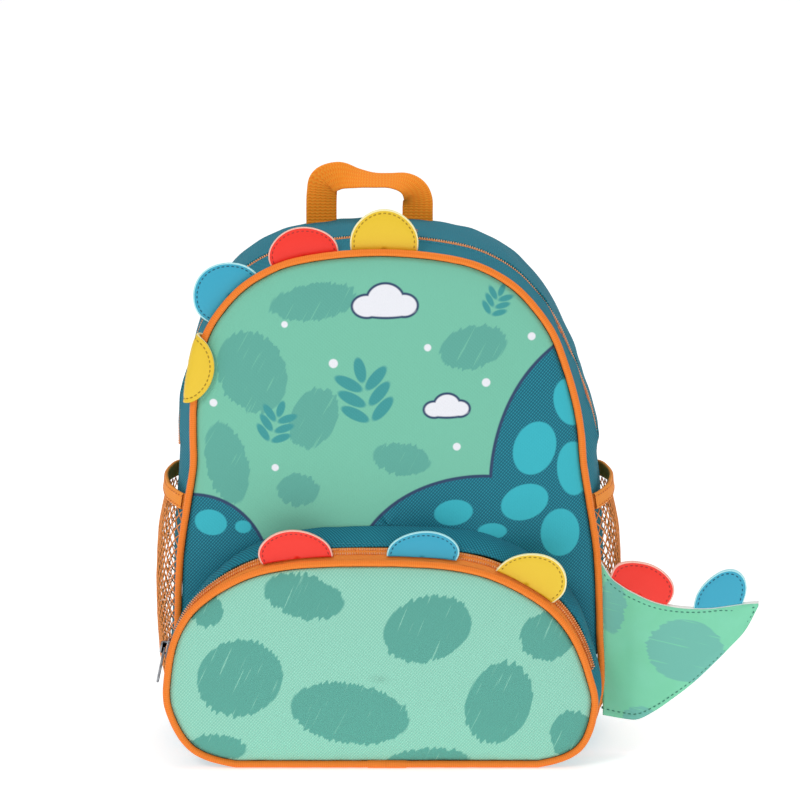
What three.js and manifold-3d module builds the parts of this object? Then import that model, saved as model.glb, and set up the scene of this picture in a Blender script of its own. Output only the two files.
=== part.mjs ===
// Child's backpack with a rounded arch, a front pocket, soft plates, a tail and mesh side pockets.
// Millimetres, +Z up. The front faces -Y and +X is to the right seen from the front.
// The origin is on the floor, under the middle of the main compartment.

import * as THREE from 'three';
import Module from 'manifold-3d';
import { mergeVertices } from 'three/addons/utils/BufferGeometryUtils.js';

const wasm = await Module();
wasm.setup();

// Sizes in millimetres.

const cloth = 2; // wall of the fabric panels
const clearance = 0.3; // gap between pieces that are sewn or seated together
const pipingRadius = 2.2;

const bagHeight = 320; // height of the front panel at its piping
const bagHalfWidth = 131; // widest half of the front panel
const bagDepth = 90; // front piping to back edge
const frontTaper = 4; // how far the front leans back at the top
const archLean = -6; // the stuffed arch sits a little to the left at the top
const panelCrown = 10; // how far the front panel bulges forward
const sideBulge = 10; // how far the gusset bulges past the piping
const backPadding = 8; // foam of the back panel
const backCrown = 4;
const footFront = 0.11; // share of the depth over which the underside rounds up to the front seam
const footBack = 0.04; // and to the back seam

const pocketHeight = 132;
const pocketHalfWidth = 132;
const pocketDepth = 32; // pocket piping to front panel
const pocketShift = -6.5; // pocket centre against the bag centre
const pocketLean = -12; // sideways lean of the pocket from base to top
const pocketLift = 0.6; // underside of the pocket piping above the floor
const pocketRise = 18; // the pocket's top slopes up by this much to the panel
const pocketCrown = 9;
const pocketBulge = 3.5;
const pocketBulgeFrom = 40; // the pocket's sides reach their full bulge at this height

const zipWidth = 8.5; // visible width of a zipper
const tapeThickness = 1;
const coilWidth = 3.4;
const coilHeight = 1.5; // coil above the tape

const plateThickness = 2;
const plateWidth = 41;
const plateHeight = 24;
const foldRadius = 4.4; // bend of the folded plate over the piping

const tailLength = 98;
const tailRise = 102; // from the tail's lowest to its highest point
const tailBase = 22; // lowest point of the tail above the floor
const tailThickness = 3;
const tailForward = 14; // how far the tip comes forward
const tailPlateWidth = 40;
const tailPlateHeight = 21;
const tailPlateLift = 0.7; // the tail's plates stand this much over its curved edge

const netTop = 155; // top of the net, where its band begins
const netBottom = 22;
const netThickness = 1.4;
const netStandOff = 10; // widest room between side wall and net
const netStrand = 2.4;
const bandHeight = 10;
const bandThickness = 2.4;

const webbing = 19; // width of the handle webbing
const webbingThickness = 1.8;
const handleSpan = 60; // between the middles of the two legs
const handleRise = 29; // top of the handle's middle line above the bag
const handleShift = -6; // handle centre against the middle of the arch

const strapWidth = 46;
const strapPadding = 8;
const strapTopX = 38;
const strapSpread = 36;
const strapDrop = 196;
const strapBow = 20; // how far a strap bows away from the back
const strapTop = bagHeight - 20;
const lowerWebbing = 20;
const lowerWebbingThickness = 1.4;
const adjusterThickness = 3;
const adjusterBar = 3;
const adjusterMiddleBar = 4;
const adjusterSlot = 5;
const anchorX = 0.81 * bagHalfWidth;
const anchorHeight = 26;
const freeEnd = 42; // loose end of the lower webbing
const loopLength = 12; // webbing loop between the padded strap and the adjuster
const webbingBend = 0.9; // rounding where a webbing turns round a bar
const webbingRunIn = 14; // the webbing lies straight over this length before the adjuster

const sliderLength = 11;
const sliderWall = 1.2;
const bridgeWidth = 2.4;
const bridgeWall = 1.2;
const bridgeHole = 2.8; // free height under the bridge
const pullWidth = 7.4;
const pullLength = 23;
const pullThickness = 1.4;

// Outlines: right half from the base to the top, as shares of half width and height.

const archRows = [
  { out: 0, up: 0 },
  { out: 0.4, up: 0 },
  { out: 0.73, up: 0 },
  { out: 0.92, up: 0.03 },
  { out: 1, up: 0.11 },
  { out: 1, up: 0.245 },
  { out: 0.985, up: 0.4 },
  { out: 0.95, up: 0.5 },
  { out: 0.921, up: 0.578 },
  { out: 0.914, up: 0.647 },
  { out: 0.9, up: 0.703 },
  { out: 0.866, up: 0.772 },
  { out: 0.815, up: 0.838 },
  { out: 0.738, up: 0.888 },
  { out: 0.632, up: 0.934 },
  { out: 0.473, up: 0.972 },
  { out: 0.3, up: 0.99 },
  { out: 0, up: 1 },
];

const pocketRows = [
  { out: 0, up: 0 },
  { out: 0.4, up: 0 },
  { out: 0.71, up: 0 },
  { out: 0.91, up: 0.08 },
  { out: 1, up: 0.285 },
  { out: 0.985, up: 0.45 },
  { out: 0.935, up: 0.62 },
  { out: 0.853, up: 0.75 },
  { out: 0.722, up: 0.857 },
  { out: 0.55, up: 0.943 },
  { out: 0.38, up: 0.982 },
  { out: 0.19, up: 0.997 },
  { out: 0, up: 1 },
];

// Outward bulge of the main gusset by height, as a share of sideBulge.
const bulgeRows = [
  { at: 0, value: 0.3 },
  { at: 0.1, value: 0.4 },
  { at: 0.4, value: 0.45 },
  { at: 0.52, value: 0.75 },
  { at: 0.6, value: 0.95 },
  { at: 0.67, value: 0.8 },
  { at: 0.74, value: 0.52 },
  { at: 0.84, value: 0.3 },
  { at: 1, value: 0.34 },
];

// How the bulge grows from the front seam to the back seam.
const depthRows = [
  { at: 0, value: 0 },
  { at: 0.12, value: 0.5 },
  { at: 0.27, value: 0.92 },
  { at: 0.4, value: 1 },
  { at: 0.8, value: 1 },
  { at: 1, value: 0.7 },
];

function readTable(rows, at) {
  if (at <= rows[0].at) return rows[0].value;
  for (let k = 1; k < rows.length; k++) {
    if (at <= rows[k].at) {
      const share = (at - rows[k - 1].at) / (rows[k].at - rows[k - 1].at);
      return rows[k - 1].value + (rows[k].value - rows[k - 1].value) * share;
    }
  }
  return rows[rows.length - 1].value;
}

const lerp = (from, to, share) => from + (to - from) * share;

// A closed outline in the x, z plane. It starts in the middle of the base and runs to the right.
function makeOutline({ rows, halfWidth, base, height, shift = 0, leanAt }) {
  const place = (out, up) =>
    new THREE.Vector3(shift + out * halfWidth + leanAt(up), 0, base + up * (height - base));
  const right = rows.map((row) => place(row.out, row.up));
  const left = rows.slice(1, -1).reverse().map((row) => place(-row.out, row.up));
  const curve = new THREE.CatmullRomCurve3([...right, ...left], true, 'centripetal');
  curve.arcLengthDivisions = 600;
  const at = (s) => {
    const point = curve.getPointAt(((s % 1) + 1) % 1);
    point.z = Math.max(point.z, base);
    return point;
  };
  const normal = (s) => {
    const tangent = curve.getTangentAt(((s % 1) + 1) % 1);
    return new THREE.Vector3(tangent.z, 0, -tangent.x).normalize();
  };
  // Station of a height on the right (side 1) or the left (side -1).
  const stationAt = (z, side) => {
    let low = 0.02;
    let high = 0.5;
    for (let k = 0; k < 40; k++) {
      const middle = (low + high) / 2;
      const s = side > 0 ? middle : 1 - middle;
      if (at(s).z < z) low = middle;
      else high = middle;
    }
    return side > 0 ? low : 1 - low;
  };
  const count = 400;
  let length = 0;
  for (let k = 0; k < count; k++) {
    length += at(k / count).distanceTo(at((k + 1) / count));
  }
  return { at, normal, stationAt, length };
}

const smooth = (low, high, value) => {
  const share = Math.min(Math.max((value - low) / (high - low), 0), 1);
  return share * share * (3 - 2 * share);
};

const arch = makeOutline({
  rows: archRows,
  halfWidth: bagHalfWidth,
  base: pipingRadius,
  height: bagHeight,
  leanAt: (up) => archLean * smooth(0.55, 0.9, up),
});

const pocketOutlineSpec = {
  rows: pocketRows,
  halfWidth: pocketHalfWidth,
  base: pocketLift + pipingRadius,
  height: pocketHeight,
  shift: pocketShift,
  leanAt: (up) => pocketLean * (up - 0.45),
};
const pocketArch = makeOutline(pocketOutlineSpec);
const pocketFoot = makeOutline({
  ...pocketOutlineSpec,
  halfWidth: Math.min(pocketHalfWidth, bagHalfWidth) - pipingRadius,
  height: pocketHeight + pocketRise,
  shift: 0,
  leanAt: (up) => 0.4 * pocketLean * (up - 0.45),
});

// Solids from points and faces.

function signedVolume(points, faces) {
  let volume = 0;
  const cross = new THREE.Vector3();
  for (const [a, b, c] of faces) {
    volume += points[a].dot(cross.crossVectors(points[b], points[c]));
  }
  return volume / 6;
}

function solidFrom(points, faces) {
  const turned = signedVolume(points, faces) < 0;
  const index = faces.flatMap(([a, b, c]) => (turned ? [a, c, b] : [a, b, c]));
  const geometry = new THREE.BufferGeometry();
  const position = points.flatMap((point) => [point.x, point.y, point.z]);
  geometry.setAttribute('position', new THREE.Float32BufferAttribute(position, 3));
  geometry.setIndex(index);
  geometry.computeVertexNormals();
  return geometry;
}

// A chain of equal rings of points, each end closed with a fan round its middle.
function skin(rings) {
  const size = rings[0].length;
  const points = rings.flat();
  const faces = [];
  for (let k = 0; k + 1 < rings.length; k++) {
    for (let j = 0; j < size; j++) {
      const next = (j + 1) % size;
      const a = k * size + j;
      const b = k * size + next;
      faces.push([a, b, a + size], [b, b + size, a + size]);
    }
  }
  const middleOf = (ring) =>
    ring.reduce((sum, p) => sum.add(p), new THREE.Vector3()).divideScalar(size);
  const first = points.push(middleOf(rings[0])) - 1;
  const last = points.push(middleOf(rings[rings.length - 1])) - 1;
  const start = (rings.length - 1) * size;
  for (let j = 0; j < size; j++) {
    const next = (j + 1) % size;
    faces.push([first, next, j], [last, start + j, start + next]);
  }
  return solidFrom(points, faces);
}

// Rings of points joined end to end into a closed loop.
function loopSkin(rings) {
  const size = rings[0].length;
  const faces = [];
  for (let k = 0; k < rings.length; k++) {
    const ahead = (k + 1) % rings.length;
    for (let j = 0; j < size; j++) {
      const next = (j + 1) % size;
      const a = k * size + j;
      const b = k * size + next;
      const c = ahead * size + j;
      const d = ahead * size + next;
      faces.push([a, b, c], [b, d, c]);
    }
  }
  return solidFrom(rings.flat(), faces);
}

// A wall laid out as a grid of cells, with an outer and an inner skin. Cells can be left open.
function gridShell({ columns, rows, wrap = false, outer, inner, filled = () => true }) {
  const width = wrap ? columns : columns + 1;
  const points = [];
  const index = new Map();
  const vertex = (side, i, j) => {
    const column = wrap ? (i + columns) % columns : i;
    const key = (side * width + column) * (rows + 1) + j;
    if (!index.has(key)) {
      points.push((side ? inner : outer)(column, j));
      index.set(key, points.length - 1);
    }
    return index.get(key);
  };
  const isFilled = (i, j) => {
    if (j < 0 || j >= rows) return false;
    if (!wrap && (i < 0 || i >= columns)) return false;
    return filled(wrap ? (i + columns) % columns : i, j);
  };
  const faces = [];
  const quad = (a, b, c, d) => faces.push([a, b, c], [a, c, d]);
  for (let i = 0; i < columns; i++) {
    for (let j = 0; j < rows; j++) {
      if (!isFilled(i, j)) continue;
      quad(vertex(0, i, j), vertex(0, i + 1, j), vertex(0, i + 1, j + 1), vertex(0, i, j + 1));
      quad(vertex(1, i, j), vertex(1, i, j + 1), vertex(1, i + 1, j + 1), vertex(1, i + 1, j));
      const edge = (ia, ja, ib, jb) =>
        quad(vertex(0, ia, ja), vertex(1, ia, ja), vertex(1, ib, jb), vertex(0, ib, jb));
      if (!isFilled(i, j - 1)) edge(i, j, i + 1, j);
      if (!isFilled(i + 1, j)) edge(i + 1, j, i + 1, j + 1);
      if (!isFilled(i, j + 1)) edge(i + 1, j + 1, i, j + 1);
      if (!isFilled(i - 1, j)) edge(i, j + 1, i, j);
    }
  }
  return solidFrom(points, faces);
}

// A flat band along a path: each station has a place, a direction of its width and one of its face.
function ribbon(stations, width, thickness) {
  const rings = stations.map(({ place, across, face }) => {
    const corner = (side, up) =>
      place.clone().addScaledVector(across, (side * width) / 2).addScaledVector(face, (up * thickness) / 2);
    return [corner(-1, -1), corner(1, -1), corner(1, 1), corner(-1, 1)];
  });
  return skin(rings);
}

const bag = new THREE.Group();

function addPiece(name, geometry, look, parent = bag) {
  const mesh = new THREE.Mesh(geometry, new THREE.MeshStandardMaterial(look));
  mesh.name = name;
  parent.add(mesh);
  return mesh;
}

const looks = {
  print: { color: 0x82ccad, roughness: 0.75, metalness: 0 },
  mint: { color: 0x93d5bc, roughness: 0.75, metalness: 0 },
  teal: { color: 0x1f7384, roughness: 0.85, metalness: 0 },
  piping: { color: 0xf08a35, roughness: 0.55, metalness: 0 },
  webbing: { color: 0xff941f, roughness: 0.8, metalness: 0 },
  net: { color: 0xf29347, roughness: 0.75, metalness: 0 },
  zipper: { color: 0xeb9a55, roughness: 0.6, metalness: 0 },
  metal: { color: 0x73757a, roughness: 0.35, metalness: 0.9 },
  red: { color: 0xe93b30, roughness: 0.45, metalness: 0 },
  yellow: { color: 0xf3d433, roughness: 0.45, metalness: 0 },
  blue: { color: 0x2f9cb8, roughness: 0.45, metalness: 0 },
  tail: { color: 0x74c9a5, roughness: 0.5, metalness: 0 },
  plastic: { color: 0x1f5f70, roughness: 0.5, metalness: 0 },
};

// Main compartment.

const archStations = 52;
const frontY = (z) => -bagDepth / 2 + frontTaper * (z / bagHeight) ** 2;
const backY = bagDepth / 2;

// A place on the main gusset: station round the arch, share of the depth, distance outwards.
function gussetPlace(s, depthShare, out = 0) {
  const point = arch.at(s);
  const normal = arch.normal(s);
  const up = point.z / bagHeight;
  const down = Math.max(0, -normal.z) ** 4;
  const swell = lerp(sideBulge * readTable(bulgeRows, up), pipingRadius, down);
  // The underside lies flat on the floor between its rounded seams.
  const sag = Math.min(1, depthShare / footFront, (1 - depthShare) / footBack);
  const reach = swell * lerp(readTable(depthRows, depthShare), sag, down) + out;
  const front = frontY(point.z) + pipingRadius + clearance;
  return new THREE.Vector3(
    point.x + normal.x * reach,
    lerp(front, backY, depthShare),
    out < 0 ? point.z + normal.z * reach : Math.max(point.z + normal.z * reach, 0),
  );
}

const zipFront = 0.26;
const zipBack = zipFront + zipWidth / bagDepth;
const gussetShares = [0, 0.13, zipFront, zipBack, 0.55, 0.8, 0.96, 1];
const zipEndHeight = 0.6; // where the main zipper ends on each side, as a share of the height
const zipFrom = Math.ceil(arch.stationAt(zipEndHeight * bagHeight, 1) * archStations);
const zipTo = archStations - zipFrom;

const baseColumns = 4; // stations of the flat base strip on each side of the middle
const stationGap = clearance / arch.length; // the clearance along the seam, as a share of the way round

// A wall of the main gusset between two stations, with the slit of the zipper left open.
function gussetWall(from, to) {
  const station = (i) => {
    if (i === 0) return from / archStations + stationGap / 2;
    if (i === to - from) return to / archStations - stationGap / 2;
    return (from + i) / archStations;
  };
  return gridShell({
    columns: to - from,
    rows: gussetShares.length - 1,
    outer: (i, j) => gussetPlace(station(i), gussetShares[j]),
    inner: (i, j) => gussetPlace(station(i), gussetShares[j], -cloth),
    filled: (i, j) => !(j === 2 && from + i >= zipFrom && from + i < zipTo),
  });
}

addPiece('main_gusset', gussetWall(baseColumns, archStations - baseColumns), looks.teal);
addPiece('main_base', gussetWall(-baseColumns, baseColumns), looks.teal);

const panelMiddle = new THREE.Vector3(0, 0, 0.47 * bagHeight);

// How far a place in the x, z plane is from the middle of an outline towards its edge, 0 to 1.
function shareTo(outline, middle, x, z) {
  const direction = Math.atan2(z - middle.z, x - middle.x);
  let best = 0;
  let bestTurn = Infinity;
  for (let k = 0; k < 720; k++) {
    const point = outline.at(k / 720);
    const turn = Math.abs(Math.atan2(point.z - middle.z, point.x - middle.x) - direction);
    const gap = Math.min(turn, 2 * Math.PI - turn);
    if (gap < bestTurn) {
      bestTurn = gap;
      best = Math.hypot(point.x - middle.x, point.z - middle.z);
    }
  }
  return Math.hypot(x - middle.x, z - middle.z) / best;
}

const crownAt = (share, crown) => crown * (1 - Math.min(share, 1) ** 2.2);

// A crowned panel inside an outline: rings from its middle to its edge, in front and behind.
function crownedPanel({ outline, stations, edge, middle, shares, frontAt, backAt }) {
  const rim = Array.from({ length: stations }, (unused, k) => {
    const s = k / stations;
    return outline.at(s).addScaledVector(outline.normal(s), -edge);
  });
  const ringOf = (share, yAt) => rim.map((point) => {
    const x = lerp(middle.x, point.x, share);
    const z = lerp(middle.z, point.z, share);
    return new THREE.Vector3(x, yAt(share, z), z);
  });
  const inwards = shares.map((share) => ringOf(share, frontAt));
  const outwards = [...shares].reverse().map((share) => ringOf(share, backAt));
  return skin([...inwards, ...outwards]);
}

const panelFrontAt = (share, z) => frontY(z) - crownAt(share, panelCrown) - cloth / 2;

addPiece('front_panel', crownedPanel({
  outline: arch,
  stations: archStations,
  edge: pipingRadius + clearance,
  middle: panelMiddle,
  shares: [0.2, 0.5, 0.75, 0.91, 1],
  frontAt: panelFrontAt,
  backAt: (share, z) => panelFrontAt(share, z) + cloth,
}), looks.print);

const backOutline = {
  at: (s) => {
    const point = gussetPlace(s, 1);
    return new THREE.Vector3(point.x, 0, point.z);
  },
  normal: arch.normal,
};
const backFaceAt = (share) => backY + crownAt(share, backCrown);

addPiece('back_panel', crownedPanel({
  outline: backOutline,
  stations: archStations,
  edge: cloth + clearance,
  middle: panelMiddle,
  shares: [0.3, 0.75, 1],
  frontAt: () => backY - backPadding,
  backAt: backFaceAt,
}), looks.teal);

// Round cord along an outline, at the depth given for each height.
function pipingLoop(outline, stations, depthAt) {
  const sides = 6;
  const rings = Array.from({ length: stations }, (unused, k) => {
    const s = k / stations;
    const middle = outline.at(s);
    const normal = outline.normal(s);
    return Array.from({ length: sides }, (alsoUnused, j) => {
      const angle = ((j + 0.5) / sides) * 2 * Math.PI;
      return new THREE.Vector3(
        middle.x + normal.x * Math.cos(angle) * pipingRadius,
        depthAt(middle.z) + Math.sin(angle) * pipingRadius,
        middle.z + normal.z * Math.cos(angle) * pipingRadius,
      );
    });
  });
  return loopSkin(rings);
}

addPiece('main_piping', pipingLoop(arch, archStations, frontY), looks.piping);

// Zippers.

// Tape and coil that fill a slit: rows across the slit with their height against the wall's outside.
function zipStrip({
  placeAt, from, to, count, shareFrom, shareTo: shareEnd, clearFrom, clearTo, coilAt, sunk,
}) {
  const coilHalf = (coilWidth / zipWidth) / 2;
  const rows = [
    { share: clearFrom, height: 0 },
    { share: coilAt - coilHalf - 0.02, height: 0 },
    { share: coilAt - coilHalf * 0.7, height: coilHeight },
    { share: coilAt + coilHalf * 0.7, height: coilHeight },
    { share: coilAt + coilHalf + 0.02, height: 0 },
    { share: 1 - clearTo, height: 0 },
  ];
  const place = (i, share, out) => placeAt(lerp(from, to, i / count), lerp(shareFrom, shareEnd, share), out);
  return gridShell({
    columns: count,
    rows: rows.length - 1,
    outer: (i, j) => place(i, rows[j].share, rows[j].height - sunk),
    inner: (i, j) => place(i, rows[j].share, -sunk - tapeThickness),
  });
}

const seamShare = clearance / zipWidth;
const tapeSunk = (cloth - tapeThickness) / 2;
const mainCoilAt = 0.5; // middle of the coil across the zipper
const pocketCoilAt = 0.67; // the plates stand on the tape before the coil

addPiece('main_zipper', zipStrip({
  placeAt: gussetPlace,
  from: zipFrom / archStations + stationGap,
  to: zipTo / archStations - stationGap,
  count: zipTo - zipFrom,
  shareFrom: zipFront,
  shareTo: zipBack,
  clearFrom: seamShare,
  clearTo: seamShare,
  coilAt: mainCoilAt,
  sunk: tapeSunk,
}), looks.zipper);

// Front pocket.

const pocketStations = 44;
const pocketY = (z) => frontY(z) - pocketDepth;

// A place on the front panel's outside, in front of a point of the x, z plane.
function panelPlace(x, z) {
  const share = shareTo(arch, panelMiddle, x, z);
  return panelFrontAt(share, z);
}

const footDepths = Array.from({ length: pocketStations }, (unused, k) => {
  const point = pocketFoot.at(k / pocketStations);
  return Math.min(panelPlace(point.x, point.z), frontY(point.z) - pipingRadius) - clearance;
});

function footY(s) {
  const station = (((s % 1) + 1) % 1) * pocketStations;
  const low = Math.floor(station) % pocketStations;
  const high = (low + 1) % pocketStations;
  return lerp(footDepths[low], footDepths[high], station - Math.floor(station));
}

// A place on the pocket's gusset, from its piping (0) to the panel (1).
function pocketPlace(s, depthShare, out = 0) {
  const front = pocketArch.at(s);
  const foot = pocketFoot.at(s);
  const normal = pocketArch.normal(s);
  const under = normal.z < -0.5;
  const rise = Math.min(1, front.z / pocketBulgeFrom);
  const swell = under ? 0 : pocketBulge * rise * Math.sin(Math.PI * depthShare);
  const reach = swell + out;
  const startY = pocketY(front.z) + pipingRadius + clearance;
  return new THREE.Vector3(
    lerp(front.x, foot.x, depthShare) + normal.x * reach,
    lerp(startY, footY(s), depthShare),
    lerp(front.z, foot.z, depthShare) + normal.z * reach,
  );
}

const pocketZipShare = (1.1 * zipWidth) / pocketDepth; // the slope shortens the depth over the top
const pocketShares = [0, pocketZipShare, 0.5, 0.75, 1];
const pocketZipRightEnd = 0.46; // right end of the pocket zipper, as a share of the pocket's height
const pocketZipLeftEnd = 0.47;
const pocketZipFrom = Math.round(pocketArch.stationAt(pocketZipRightEnd * pocketHeight, 1) * pocketStations);
const pocketZipTo = Math.round(pocketArch.stationAt(pocketZipLeftEnd * pocketHeight, -1) * pocketStations);

addPiece('pocket_gusset', gridShell({
  columns: pocketStations,
  rows: pocketShares.length - 1,
  wrap: true,
  outer: (i, j) => pocketPlace(i / pocketStations, pocketShares[j]),
  inner: (i, j) => pocketPlace(i / pocketStations, pocketShares[j], -cloth),
  filled: (i, j) => !(j === 0 && i >= pocketZipFrom && i < pocketZipTo),
}), looks.teal);

const pocketMiddle = new THREE.Vector3(pocketShift, 0, 0.45 * pocketHeight);
const pocketFrontAt = (share, z) => pocketY(z) - crownAt(share, pocketCrown) - cloth / 2;

addPiece('pocket_front', crownedPanel({
  outline: pocketArch,
  stations: pocketStations,
  edge: pipingRadius + clearance,
  middle: pocketMiddle,
  shares: [0.2, 0.55, 0.82, 1],
  frontAt: pocketFrontAt,
  backAt: (share, z) => pocketFrontAt(share, z) + cloth,
}), looks.mint);

addPiece('pocket_piping', pipingLoop(pocketArch, pocketStations, pocketY), looks.piping);

addPiece('pocket_zipper', zipStrip({
  placeAt: pocketPlace,
  from: pocketZipFrom / pocketStations + stationGap,
  to: pocketZipTo / pocketStations - stationGap,
  count: pocketZipTo - pocketZipFrom,
  shareFrom: 0,
  shareTo: pocketZipShare,
  clearFrom: 0,
  clearTo: seamShare,
  coilAt: pocketCoilAt,
  sunk: tapeSunk,
}), looks.zipper);

// Slider and pull, built along x with the coil below them.

function toManifold(geometry) {
  const bare = geometry.clone();
  bare.deleteAttribute('normal');
  bare.deleteAttribute('uv');
  const merged = mergeVertices(bare, 1e-4);
  return new wasm.Manifold(new wasm.Mesh({
    numProp: 3,
    vertProperties: new Float32Array(merged.attributes.position.array),
    triVerts: new Uint32Array(merged.index.array),
  }));
}

function fromManifold(body) {
  const mesh = body.getMesh();
  const geometry = new THREE.BufferGeometry();
  geometry.setAttribute('position', new THREE.BufferAttribute(mesh.vertProperties.slice(), 3));
  geometry.setIndex(new THREE.BufferAttribute(mesh.triVerts.slice(), 1));
  geometry.computeVertexNormals();
  return geometry;
}

function extrudeAlongY(shape, depth) {
  const geometry = new THREE.ExtrudeGeometry(shape, { depth, bevelEnabled: false, curveSegments: 5 });
  geometry.translate(0, 0, -depth / 2);
  geometry.rotateX(Math.PI / 2);
  return geometry;
}

const coilTop = coilHeight - tapeSunk; // above the outside of the wall
const sliderTop = coilTop + clearance + sliderWall;
const axisHeight = sliderTop + bridgeHole / 2;
const flange = (coilWidth / 2) + 2 * clearance;

function sliderGeometry() {
  const half = flange + sliderWall;
  const roof = new THREE.Shape();
  roof.moveTo(-half, clearance);
  roof.lineTo(-flange, clearance);
  roof.lineTo(-flange, coilTop + clearance);
  roof.lineTo(flange, coilTop + clearance);
  roof.lineTo(flange, clearance);
  roof.lineTo(half, clearance);
  roof.lineTo(half, sliderTop);
  roof.lineTo(-half, sliderTop);
  roof.closePath();
  const body = new THREE.ExtrudeGeometry(roof, { depth: sliderLength, bevelEnabled: false });
  body.translate(0, 0, -sliderLength / 2);
  body.rotateX(Math.PI / 2);
  body.rotateZ(Math.PI / 2);
  const reach = sliderLength / 2 - sliderWall;
  const bridge = new THREE.Shape();
  bridge.moveTo(-reach, sliderTop - sliderWall / 2);
  bridge.lineTo(reach, sliderTop - sliderWall / 2);
  bridge.lineTo(reach, sliderTop + bridgeHole * 0.6);
  bridge.lineTo(reach - bridgeWall, sliderTop + bridgeHole + bridgeWall);
  bridge.lineTo(-reach + bridgeWall, sliderTop + bridgeHole + bridgeWall);
  bridge.lineTo(-reach, sliderTop + bridgeHole * 0.6);
  bridge.closePath();
  const hole = new THREE.Path();
  const inside = reach - bridgeWall;
  hole.moveTo(-inside, sliderTop);
  hole.lineTo(-inside, sliderTop + bridgeHole);
  hole.lineTo(inside, sliderTop + bridgeHole);
  hole.lineTo(inside, sliderTop);
  hole.closePath();
  bridge.holes.push(hole);
  return fromManifold(toManifold(body).add(toManifold(extrudeAlongY(bridge, bridgeWidth))));
}

// The pull lies along +x from its hinge line at the origin, flat side up.
function pullGeometry() {
  const outline = new THREE.Shape();
  const half = pullWidth / 2;
  const bar = pullThickness / 2;
  outline.moveTo(-bar, -half * 0.75);
  outline.lineTo(pullLength * 0.35, -half * 0.75);
  outline.lineTo(pullLength * 0.5, -half);
  outline.lineTo(pullLength - half, -half);
  outline.absarc(pullLength - half, 0, half, -Math.PI / 2, Math.PI / 2, false);
  outline.lineTo(pullLength * 0.5, half);
  outline.lineTo(pullLength * 0.35, half * 0.75);
  outline.lineTo(-bar, half * 0.75);
  outline.closePath();
  const slot = new THREE.Path();
  const gap = bridgeWidth / 2 + 2 * clearance;
  const far = sliderLength / 2 + clearance;
  slot.moveTo(bar, -gap);
  slot.lineTo(bar, gap);
  slot.lineTo(far, gap);
  slot.lineTo(far, -gap);
  slot.closePath();
  outline.holes.push(slot);
  const geometry = new THREE.ExtrudeGeometry(outline, {
    depth: pullThickness,
    bevelEnabled: false,
    curveSegments: 6,
  });
  geometry.translate(0, 0, -pullThickness / 2);
  return fromManifold(toManifold(geometry));
}

// Sets slider and pull on a zipper at a station; turn is 1 when the pull lies towards higher stations.
function addSlider(name, placeAt, s, share, turn) {
  const step = 0.004;
  const seat = placeAt(s, share);
  const along = placeAt(s + step, share).sub(placeAt(s - step, share)).normalize().multiplyScalar(turn);
  const across = placeAt(s, share + 0.05).sub(placeAt(s, share - 0.05));
  across.addScaledVector(along, -across.dot(along)).normalize();
  const normal = new THREE.Vector3().crossVectors(along, across);
  const outside = placeAt(s, share, 1).sub(placeAt(s, share, 0));
  if (normal.dot(outside) < 0) {
    across.negate();
    normal.negate();
  }
  const holder = new THREE.Group();
  holder.position.copy(seat);
  holder.quaternion.setFromRotationMatrix(new THREE.Matrix4().makeBasis(along, across, normal));
  bag.add(holder);
  addPiece(`${name}_slider`, sliderGeometry(), looks.metal, holder);
  const pull = addPiece(`${name}_pull`, pullGeometry(), looks.metal, holder);
  pull.position.set(0, 0, axisHeight);
}

const mainSliderStation = 0.5;
const pocketSliderStation = (pocketZipTo - 1.2) / pocketStations;
addSlider('main_zip', gussetPlace, mainSliderStation, lerp(zipFront, zipBack, mainCoilAt), -1);
addSlider('pocket_zip', pocketPlace, pocketSliderStation, pocketZipShare * pocketCoilAt, 1);

// Plates.

// A rounded plate on a base line. rise(share) gives the way along its height: out and forward, in mm.
// slant moves it sideways by a share of the way up.
function plateGeometry({ baseAt, normal, width, height, slant, rise, columns = 4 }) {
  const levels = [0, 0.3, 0.58, 0.8, 0.94, 0.995];
  const rings = levels.map((level) => {
    const half = Math.sqrt(1 - level ** 2.4) * (1 + 0.06 * Math.sin(Math.PI * level));
    return Array.from({ length: columns + 1 }, (unused, k) => {
      const along = ((k / columns) * 2 - 1) * half;
      return { along: (along * width) / 2 + slant * level * height, level };
    });
  });
  const place = (i, j, side) => {
    const { along, level } = rings[j][i];
    const step = 0.02;
    const now = rise(level * height);
    const ahead = rise(level * height + step);
    const behind = rise(level * height - step);
    const way = new THREE.Vector2(ahead.out - behind.out, ahead.forward - behind.forward).normalize();
    const shift = (side * plateThickness) / 2;
    const out = now.out - way.y * shift;
    const forward = now.forward + way.x * shift;
    return baseAt(along).addScaledVector(normal, out).add(new THREE.Vector3(0, -forward, 0));
  };
  return gridShell({
    columns,
    rows: levels.length - 1,
    outer: (i, j) => place(i, j, 1),
    inner: (i, j) => place(i, j, -1),
  });
}

// Way of a plate that stands up from its seam and leans by a share of its height.
const standing = (lean) => (way) => ({ out: way, forward: lean * way * Math.max(way, 0) / plateHeight });

// Way of a plate that turns forward over the piping and lies on the panel.
function foldedOver(radius) {
  const turn = Math.PI * 0.98 * radius;
  return (way) => {
    if (way <= 0) return { out: way, forward: 0 };
    if (way < turn) {
      const angle = way / radius;
      return { out: Math.sin(angle) * radius, forward: (1 - Math.cos(angle)) * radius };
    }
    const past = way - turn;
    const angle = turn / radius;
    return {
      out: Math.sin(angle) * radius + Math.cos(angle) * past,
      forward: (1 - Math.cos(angle)) * radius + Math.sin(angle) * past,
    };
  };
}

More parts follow.
